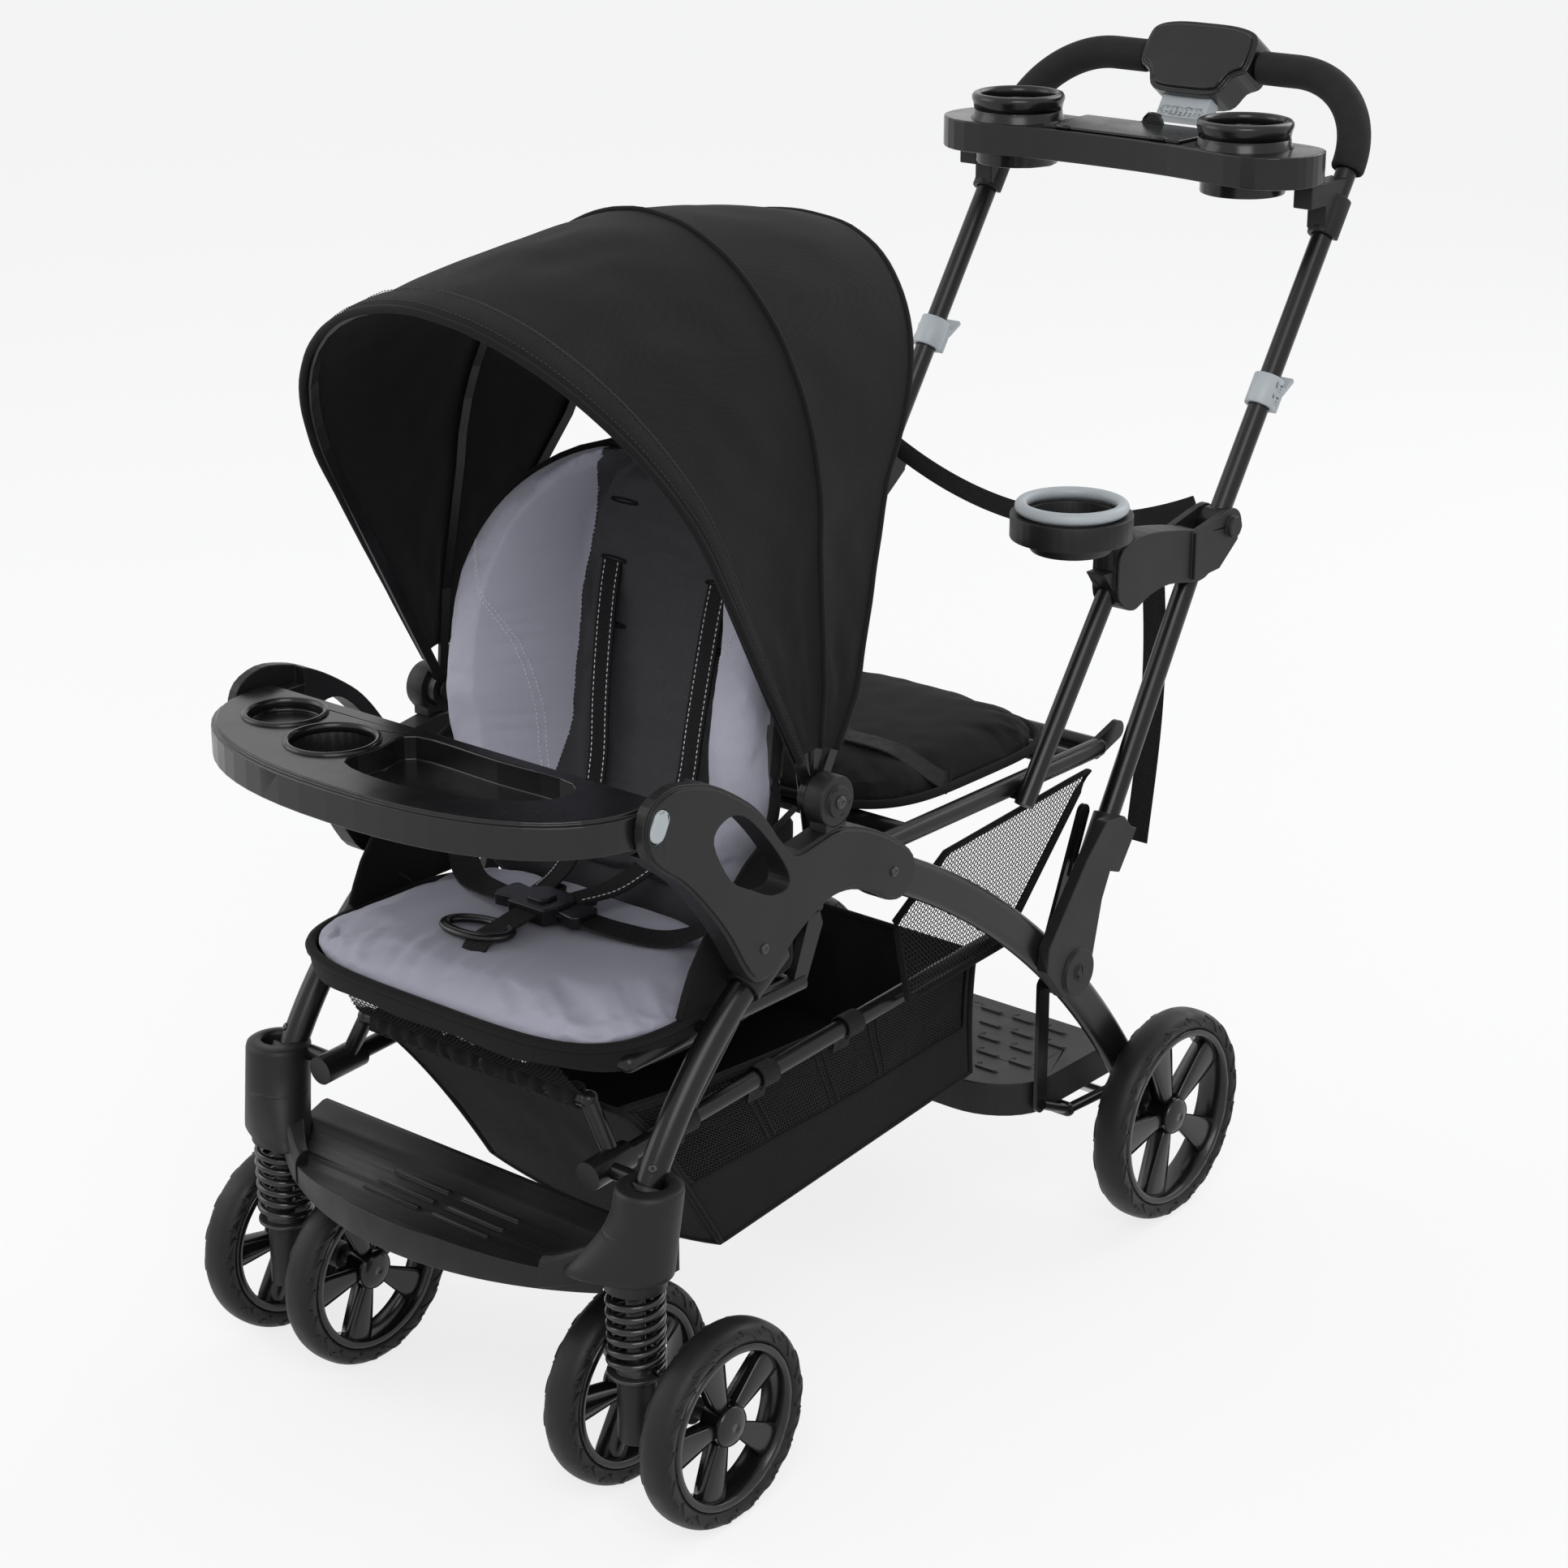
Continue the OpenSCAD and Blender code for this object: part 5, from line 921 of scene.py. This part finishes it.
angles = [61.3] + [62 + 33 * k / 18 for k in range(19)]
angles += [95 + 24.5 * k / 14 for k in range(1, 15)] + [120.2]
canopy = cloth_piece("canopy_cloth", [canopy_between(a) for a in angles], black_cloth, "black_cloth", None)
ease(canopy)
crown = {name: canopy_line(*bow, 3.1, 40)[48] for name, bow in bows.items()}
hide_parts("canopy_panel_rear", "canopy_panel_front")


def canopy_strip(name, low_angle, high_angle, off, body, thick, lift=0.0):
    rows = []
    for k in range(7):
        t = k / 6
        rows.append(canopy_between(low_angle + (high_angle - low_angle) * t,
                                   off + lift * math.sin(math.pi * t), 38))
    strip = cloth_piece(name, rows, black_cloth, "black_cloth", body, thick=thick)
    ease(strip)
    return strip


hem = canopy_strip("canopy_hem", 60.9, 65.4, 4.6, "canopy_front", 0.0022, lift=1.6)
pipe("canopy_front_piping", canopy_between(60.9, 4.0, 38), 0.0034, black_cloth, "black_cloth",
     "canopy_front")
stitching("canopy_hem_stitching", [canopy_between(a, 7.0, 44) for a in (64.9, 61.9)], black_thread,
          "black_cloth", "canopy_front", thread=0.0005)
pipe("canopy_middle_piping", canopy_between(95, 4.2, 40), 0.0024, black_cloth, "black_cloth",
     "canopy_middle")
pipe("canopy_rear_tape", canopy_between(120.2, 3.3, 40), 0.003, black_cloth, "black_cloth", "front_frame")
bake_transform(canopy)

# Bench for the rear child: a thin black cushion over a board, piped round its rim, with a short lap belt.
# It is screwed to the bench frame, and its belt is sewn into the seam at both sides.
bench_y, bench_z, bench_w, bench_l = -219, 485.6, 322, 286
bench_pad = mesh_piece("bench_cushion", *pad_cover(bench_w, bench_l, 31, bench_y, bench_z), black_cloth,
                       "black_cloth")
stuff(bench_pad, 0.005, lambda co: co.z < (bench_z + 4) / 1000)
for vertex in bench_pad.data.vertices:
    co = vertex.co
    if co.z > (bench_z + 8) / 1000:
        vertex.co.z += (1.8 * noise.noise((co.x * 16, co.y * 13, 1))
                        + 0.8 * noise.noise((co.x * 45, co.y * 40, 5))) / 1000
ease(bench_pad)
bench_body = body_of("bench_pad")
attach(bench_pad, bench_body)
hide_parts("bench_pad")
bench_rim = [at(x * 1.012, bench_y + y * 1.014, bench_z + 8) for x, y in pad_rim(bench_w, bench_l, 120)]
pipe("bench_piping", bench_rim, 0.0042, black_cloth, "black_cloth", bench_body, closed=True)
bench_top = tree_of(bench_pad)


def on_bench(x, y, up=0.0):
    spot = bench_top.ray_cast(at(x, y, 700), Vector((0, 0, -1)))[0]
    return (spot or at(x, y, bench_z + 33)) + Vector((0, 0, up / 1000))


lap = []
for side in (1, -1):
    corners = [on_bench(side * 24, -279, 6), on_bench(side * 60, -281, 3), on_bench(side * 110, -276, 2),
               on_bench(side * 150, -268, 1), at(side * 162, -262, bench_z + 12)]
    lap.append(rounded_run(corners,
                           [Vector((0, 0, 1))] * 3 + [Vector((side * 0.5, 0, 1)), Vector((side, 0, 0.3))]))
lap_belt = webbing("bench_lap_belt", lap, 0.025, bench_body)


def on_lap(x, y, z):
    return on_bench(0, -279, 5) + Vector((x, y, z)) / 1000


lap_parts = [slab([(-30, -15), (-4, -17), (8, -12), (8, 12), (-4, 17), (-30, 15)], 0, 12, on_lap),
             slab([(7, -8), (20, -15), (32, -15), (32, 15), (20, 15), (7, 8)], 1, 10, on_lap),
             slab([(-24, -8), (-10, -8), (-6, 0), (-10, 8), (-24, 8)], 11, 15, on_lap)]
lap_buckle = moulding("bench_buckle", lap_parts, gloss_black, "black_plastic", bench_body)
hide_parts("bench_belt")

# Nets: black knitted polyester mesh, bound with tape: one on each side under the bench,
# one under the front of the seat, and the net windows of the basket.
net_thread = finish("net_thread", woven_cloth, {"Threads": 7000.0}, (0.01, 0.01, 0.01),
                    (0.026, 0.026, 0.026), (0.5, 0.7), (0.2, 0.0002), **{"Specular IOR Level": 0.15})


def within(a, b, outline):
    """Whether a flat point lies in an outline."""
    inside = False
    for (a0, b0), (a1, b1) in zip(outline, outline[1:] + outline[:1]):
        if (b0 > b) != (b1 > b) and a < (a1 - a0) * (b - b0) / (b1 - b0) + a0:
            inside = not inside
    return inside


def netting(outline, place, cell=4.8, thread=0.0005, step=1.6):
    """Crossing threads over a flat outline, set in space by place; each thread is a thin tube."""
    low_a, high_a = min(p[0] for p in outline), max(p[0] for p in outline)
    low_b, high_b = min(p[1] for p in outline), max(p[1] for p in outline)
    shapes, tall = [], high_b - low_b
    for slant in (1, -1):
        for k in range(int((high_a - low_a + tall) / cell) + 2):
            foot = low_a - tall + k * cell if slant > 0 else low_a + k * cell
            run, count = [], int(tall / step) + 1
            for i in range(count + 1):
                b = low_b + tall * i / count
                a = foot + slant * (b - low_b - 0.12 * cell * math.sin(4 * math.pi * (b - low_b) / cell))
                if within(a, b, outline):
                    run.append(place(a, b))
                if run and (i == count or not within(a, b, outline)):
                    if len(run) > 1:
                        shapes.append(tube_rings(run, thread, 3))
                    run = []
    return gather(*shapes)


side_outline = [(-62, 455), (-277, 439), (-348, 396), (-329, 316), (-192, 323)]
net_x = 170.6
side_pieces = []
for side, hand in both_hands:
    net = mesh_piece("side_net_" + hand, *netting(side_outline, lambda a, b: at(side * net_x, a, b)),
                     net_thread, "net")
    corners = [at(side * net_x, a, b) for a, b in side_outline]
    bound = [a.lerp(b, k / 8) for a, b in zip(corners, corners[1:] + corners[:1]) for k in range(8)]
    tape = pipe("side_net_tape_" + hand, bound, 0.0042, black_cloth, "black_cloth", None, closed=True,
                squeeze=0.45)
    if side > 0:
        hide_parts("side_nets")
    side_pieces += [net, tape]
for piece in side_pieces:
    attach(piece, body_of("side_nets"))


def under_seat(a, b):
    return at(a, -728 + 0.55 * b, 392 - 0.82 * b - 5 * math.sin(math.pi * b / 60))


front_outline = [(-122, 0), (122, 0), (132, 60), (-132, 60)]
front_net = mesh_piece("front_net", *netting(front_outline, under_seat), net_thread, "net", "front_frame")

# Basket: a sewn bag of black polyester that sags under the seats, with net windows in its upper sides.
# Its gathered front hem is threaded on the basket hoop, and webbing loops hang it from the lower rails.
def basket_point(across, along, t):
    """A point of the bag: across and along it from -1 to 1, and t from its rim at 0 to its floor at 1."""
    half = 147 - 12 * t - 3 * math.sin(math.pi * t)
    front, rear = -680 + 139 * t ** 0.8, -201 + 14 * t
    front_z, rear_z = 331 - 178 * t, 313 - 128 * t
    share = (along + 1) / 2
    free = (1 - min(abs(across), abs(along)) ** 4) * math.sin(math.pi * t)
    slack = free * (2.6 * noise.noise((across * 4, share * 9, t * 3)) - 2)
    rim_dip = (1 - t) * 12 * (1 - along * along) * across * across
    dip = rim_dip + t * 15 * (1 - across * across) * (0.5 - along / 2) ** 4
    return at(across * (half + slack), front + (rear - front) * share + slack * along * 2,
              front_z + (rear_z - front_z) * share - dip)


side_run = [k / 22 - 1 for k in range(44)]
end_run = [k / 9 - 1 for k in range(18)]
basket_rim = [(1, v) for v in side_run] + [(-v, 1) for v in end_run]
basket_rim += [(-a, -b) for a, b in basket_rim]
basket_steps = len(basket_rim)
basket_levels = [0, 0.03, 0.1, 0.2, 0.3, 0.4, 0.5, 0.6, 0.66, 0.76, 0.86, 0.94, 0.985, 1]
basket_rows = [[basket_point(*share, t) for share in basket_rim] for t in basket_levels]
floor_middle = sum(basket_rows[-1], Vector()) / basket_steps
for r in (0.985, 0.92, 0.8, 0.64, 0.45, 0.25, 0.1):
    basket_rows.append([floor_middle + (p - floor_middle) * r - Vector((0, 0, 0.011 * (1 - r * r)))
                        for p in basket_rows[13]])
faces = []
for k, face in enumerate(grid_faces(len(basket_rows), basket_steps, round_columns=True)):
    level, (across, along) = k // basket_steps, basket_rim[k % basket_steps]
    if not (abs(across) == 1 and abs(along + 0.02) < 0.95 and 1 <= level < 7):
        faces.append(face)
faces.append(tuple(range(len(basket_rows) * basket_steps - basket_steps, len(basket_rows) * basket_steps)))
basket = mesh_piece("basket_bag", [p for row in basket_rows for p in row], faces, black_cloth,
                    "black_cloth", "front_frame")
bag_cloth = basket.modifiers.new("thickness", "SOLIDIFY")
bag_cloth.thickness = 0.0014
ease(basket)
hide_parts("basket")
windows, tapes = [], []
window = [(-224, 4), (222, 4), (222, 106), (-224, 106)]
for side in (1, -1):
    windows.append(netting(window, lambda a, b: basket_point(side, a / 234, b / 177), thread=0.0006))
    for t, r in ((0.03, 0.0024), (0.605, 0.0016)):
        tapes.append(tube_rings([basket_point(side, -0.97 + 0.0485 * k, t) for k in range(41)], r, 6))
    for along in (-0.42, 0.02, 0.36):
        for shift in (-0.022, 0.022):
            tapes.append(tube_rings([basket_point(side * 1.004, along + shift, 0.03 + 0.05 * k)
                                     for k in range(12)], 0.0012, 6))
    for along in (-1, 1):
        tapes.append(tube_rings([basket_point(side * 1.004, along, k / 20) for k in range(21)], 0.0028, 6))
basket_net = mesh_piece("basket_net", *gather(*windows), net_thread, "net", "front_frame")
for t in (1, 0):
    tapes.append(tube_rings([basket_point(*share, t) for share in basket_rim], 0.0028, 6, closed=True))
mesh_piece("basket_tape", *gather(*tapes), black_cloth, "black_cloth", "front_frame")
hoop_y, hoop_z = -692, 340
ruffle = []
for k in range(121):
    x = -118 + 236 * k / 120
    ruffle.append((at(x, hoop_y + 0.9 * math.sin(x / 6), hoop_z + 1.1 * math.sin(x / 4.3 + 1)),
                   (9.6 + 1.3 * math.sin(x / 2.9 + 2 * noise.noise((x / 30, 1, 0)))
                    + 1.2 * noise.noise((x / 9, 4, 0))) / 1000))
hem_roll = tube_rings([p for p, _ in ruffle], [r for _, r in ruffle], 16)
apron = []
for k in range(9):
    t = k / 8
    row = []
    for j in range(81):
        crimp = 0.0013 * math.sin(j * 1.9 + 2 * noise.noise((j / 9, 1, 2))) * (1 - 0.6 * t)
        on_hoop = at(-128 + 256 * j / 80, hoop_y + 12 * t - 4 * math.sin(math.pi * t), hoop_z - 8 - 12 * t)
        row.append(on_hoop + Vector((0, crimp, 0)))
    apron.append(row)
apron_part = ([p for row in apron for p in row], grid_faces(9, 81))
front_hem = mesh_piece("basket_front_hem", *gather(hem_roll, apron_part), black_cloth, "black_cloth",
                       "front_frame")
ease(front_hem)
loops = []
for side in (1, -1):
    for y in (-610, -507, -393):
        rail_z = 292 + 30 * (y + 724) / 542
        ring = []
        for k in range(29):
            turn = math.radians(-60 + 300 * k / 28)
            ring.append((at(side * (155 + 9.6 * math.cos(turn)), y, rail_z + 9.6 * math.sin(turn)),
                         Vector((side * math.cos(turn), 0, math.sin(turn)))))
        tail_foot = ring[-1][0]
        ring += [(tail_foot + Vector((-side * 0.0012 * k, 0, -0.006 * k)), Vector((-side, 0, 0)))
                 for k in range(1, 4)]
        loops.append(ring)
webbing("basket_loops", loops, 0.022, "front_frame", thick=0.0014)

# Pod wings: the moulded ends of the footrest's rim, which rise to the caster pods and are screwed to them.
# Black polypropylene like the pods; each is a rim section swept along the footrest's front arc.
arc_r, arc_y, rim_z = 319, -482, 205
stem_x, stem_y = 206, -726
wings = []
for side in (1, -1):
    points = []
    for k in range(13):
        f = k / 12
        x = 141 + 62 * f
        front = arc_y - math.sqrt(arc_r * arc_r - x * x) - 1.6
        low, high = rim_z - 1.4 + 10 * f, rim_z + 29.5 + 22 * f * f * (3 - 2 * f)
        thick = 15 + 14 * f
        section = [(0, low + 4), (0, high - 9), (2, high - 4), (6, high - 1), (10, high), (thick, high - 1),
                   (thick, low + 8), (4, low)]
        points += [at(side * x, front + y, z) for y, z in section]
    wings.append((points, grid_faces(13, 8, round_columns=True) + [tuple(range(8)), tuple(range(96, 104))]))
moulding("pod_wings", wings, satin_black, "black_plastic", "front_frame", round_edge=0.0012)

# Pod collars: the moulded sleeves that take the front legs into the caster pods, leaning as the legs do.
# Black polypropylene; each is a turned sleeve, drawn out at its foot to meet the footrest's rim.
collars = []
collar_x, collar_foot, collar_lean = stem_x + 5, 226, Vector((0.05, 0.13, 0))
sleeve = [(20, 238), (26.5, collar_foot), (28, 227.5), (28.2, 234), (28.2, 242), (28.2, 252), (28.2, 264),
          (28.2, 280), (28.2, 297), (27.4, 300.4), (25.5, 301.8), (22, 302.4), (15.5, 303), (15.5, 298)]
for side in (1, -1):
    to_rim, middle = Vector((-side * 0.83, -0.56, 0)), at(side * collar_x, stem_y, 0)
    points, faces = turned_z(sleeve, side * collar_x, stem_y)
    for k, p in enumerate(points):
        up = p.z - collar_foot / 1000
        out = (p - middle).to_2d()
        facing = max(0, out.normalized().dot(to_rim.to_2d())) ** 1.3 * min(1, out.length / 0.026) ** 4
        flare = to_rim * 0.034 * facing * max(0, 1 - up / 0.056) ** 1.6
        points[k] = p + up * Vector((side * collar_lean.x, collar_lean.y, 0)) + flare
    collars.append((points, faces))
mesh_piece("pod_collars", *gather(*collars), satin_black, "black_plastic", "front_frame")

# Back strap: a length of black webbing that hangs in a shallow curve between the two knuckles.
# Its loose tail hangs from the right knuckle, folded and stitched at the end.
strap_run = [(at(176.4 * t, 92, 674 - 42 * (1 - t * t)), Vector((0, 1, 0)))
             for t in [k / 24 - 1 for k in range(49)]]
back_strap = webbing("back_strap_webbing", [strap_run], 0.02, "rear_frame")
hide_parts("back_strap")
tail_run = [(at(163.9, 37 + 14 * math.sin(math.radians(200 * t)), 656 - 300 * t), Vector((0, 1, 0.12)))
            for t in [k / 30 for k in range(31)]]
strap_tail = webbing("strap_tail_webbing", [tail_run], 0.025, "rear_frame")
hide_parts("strap_tail")

# Springs: wire coiled round each caster stem between its seat and the pod, under gloss black lacquer.
# They ride with the frame as fixed coils; the real springs close up as the casters rise.
spring_lacquer = finish("spring_lacquer", powder_coat, {"Peel": 300.0}, (0.006, 0.006, 0.006),
                        (0.012, 0.012, 0.012), (0.14, 0.24), (0.05, 0.0002))
coil_r, spring_foot, spring_l = 21.5, 142, 69
for side, hand in both_hands:
    coil = []
    for k in range(261):
        turn = 2 * math.pi * k / 40
        coil.append(at(side * (stem_x + coil_r * math.cos(turn)), stem_y + coil_r * math.sin(turn),
                       spring_foot + spring_l * k / 260))
    spring = pipe("spring_coil_" + hand, coil, 0.0033, spring_lacquer, "steel", "front_frame", sides=10)
    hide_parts("spring_" + hand)
    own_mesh(spring)

# Screws and rivets: blackened steel heads with a driving socket, in side panels, canopy hubs and front legs.
# Each head is turned on a lathe, so it is a turned profile set on the surface under it.
def node_surface(name):
    node = frame["nodes"][name]
    return BVHTree.FromPolygons([node.matrix_world @ v.co for v in node.data.vertices],
                                [tuple(p.vertices) for p in node.data.polygons])


def screw_head(spot, normal, r):
    shape = lathe([(r, -0.0006), (r, 0.16 * r), (0.9 * r, 0.32 * r), (0.66 * r, 0.42 * r),
                   (0.44 * r, 0.42 * r), (0.38 * r, 0.34 * r), (0.34 * r, 0.05 * r), (0.0001, 0.02 * r)],
                   24, closed=False)
    turn = Vector((1, 0, 0)).rotation_difference(normal)
    return [spot + turn @ p for p in shape[0]], shape[1]


heads = []
for side, hand in both_hands:
    panel = "side_panel_" + hand
    for nodes, y, z, r in (([panel], -600, 470, 4.4), ([panel], -434, 485, 4.4),
                           (["front_legs"], -646, 416, 3.6), (["front_legs"], -710, 312, 3.6),
                           (["canopy_hubs", "canopy_bow_rear"], canopy_y, canopy_z, 5.5)):
        hits = [node_surface(name).ray_cast(at(side * 330, y, z), Vector((-side, 0, 0))) for name in nodes]
        hits = [hit for hit in hits if hit[0]]
        if hits:
            spot, normal = max(hits, key=lambda hit: abs(hit[0].x))[:2]
            heads.append(screw_head(spot, normal if normal.x * side > 0 else -normal, r / 1000))
mesh_piece("frame_screws", *gather(*heads), stem_steel, "steel", "front_frame")

# Floor, light and camera: a white studio floor that keeps the shadow, soft lamps all round,
# and the camera at the view of the photograph.
bpy.context.scene.view_settings.view_transform = "Standard"
floor_mesh = bpy.data.meshes.new("studio_floor")
floor_mesh.from_pydata([(-25, -25, 0), (25, -25, 0), (25, 25, 0), (-25, 25, 0)], [], [(0, 1, 2, 3)])
floor = bpy.data.objects.new("studio_floor", floor_mesh)
bpy.context.scene.collection.objects.link(floor)
pale_floor = finish("pale_floor", powder_coat, {"Peel": 200.0, "Dust": 0.6}, (0.86, 0.86, 0.86),
                    (0.9, 0.9, 0.9), (0.7, 0.9), (0.02, 0.0002))


def seen_directly(tree):
    """1 where the camera, a reflection or a transmission looks, and 0 for the light itself."""
    light = put(tree, "ShaderNodeLightPath").outputs
    seen = sum_of(tree, "MAXIMUM", light["Is Camera Ray"], light["Is Glossy Ray"])
    return sum_of(tree, "MAXIMUM", seen, light["Is Transmission Ray"])


floor_tree = pale_floor.node_tree
white = put(floor_tree, "ShaderNodeEmission", {"Color": (1, 1, 1, 1), "Strength": 1.0}).outputs[0]
share = sum_of(floor_tree, "MULTIPLY", seen_directly(floor_tree), 0.78)
mixed = put(floor_tree, "ShaderNodeMixShader",
            {0: share, 1: floor_tree.nodes["Principled BSDF"].outputs[0], 2: white}).outputs[0]
floor_tree.links.new(mixed, floor_tree.nodes["Material Output"].inputs["Surface"])
floor_mesh.materials.append(pale_floor)

world = bpy.data.worlds.new("studio")
bpy.context.scene.world = world
world.use_nodes = True
sky = world.node_tree
light = put(sky, "ShaderNodeBackground", {"Color": (0.94, 0.96, 1.0, 1), "Strength": 0.6}).outputs[0]
backdrop = put(sky, "ShaderNodeBackground", {"Color": (1, 1, 1, 1), "Strength": 1.0}).outputs[0]
mixed = put(sky, "ShaderNodeMixShader", {0: seen_directly(sky), 1: light, 2: backdrop}).outputs[0]
sky.links.new(mixed, sky.nodes["World Output"].inputs["Surface"])

for name, spot, size, watts in (("key_lamp", (2.2, -2.6, 3.2), 2.2, 70),
                                ("fill_lamp", (-3.2, -2.0, 2.2), 2.6, 38),
                                ("rim_lamp", (0.5, 3.4, 2.8), 2.4, 45)):
    lamp = bpy.data.lights.new(name, "AREA")
    lamp.size = size
    lamp.energy = watts
    holder = bpy.data.objects.new(name, lamp)
    holder.location = spot
    holder.rotation_euler = (Vector((0, 0, 0.5)) - holder.location).to_track_quat("-Z", "Y").to_euler()
    bpy.context.scene.collection.objects.link(holder)

eye = bpy.data.cameras.new("eye")
eye.sensor_width = 36
eye.lens = 36 * 4151.67 / 1932
camera = bpy.data.objects.new("eye", eye)
camera.location = at(1813.5, -2475.2, 1509.4)
camera.rotation_euler = (math.radians(90 - 20.176), 0, math.radians(39.731))
bpy.context.scene.collection.objects.link(camera)
bpy.context.scene.camera = camera
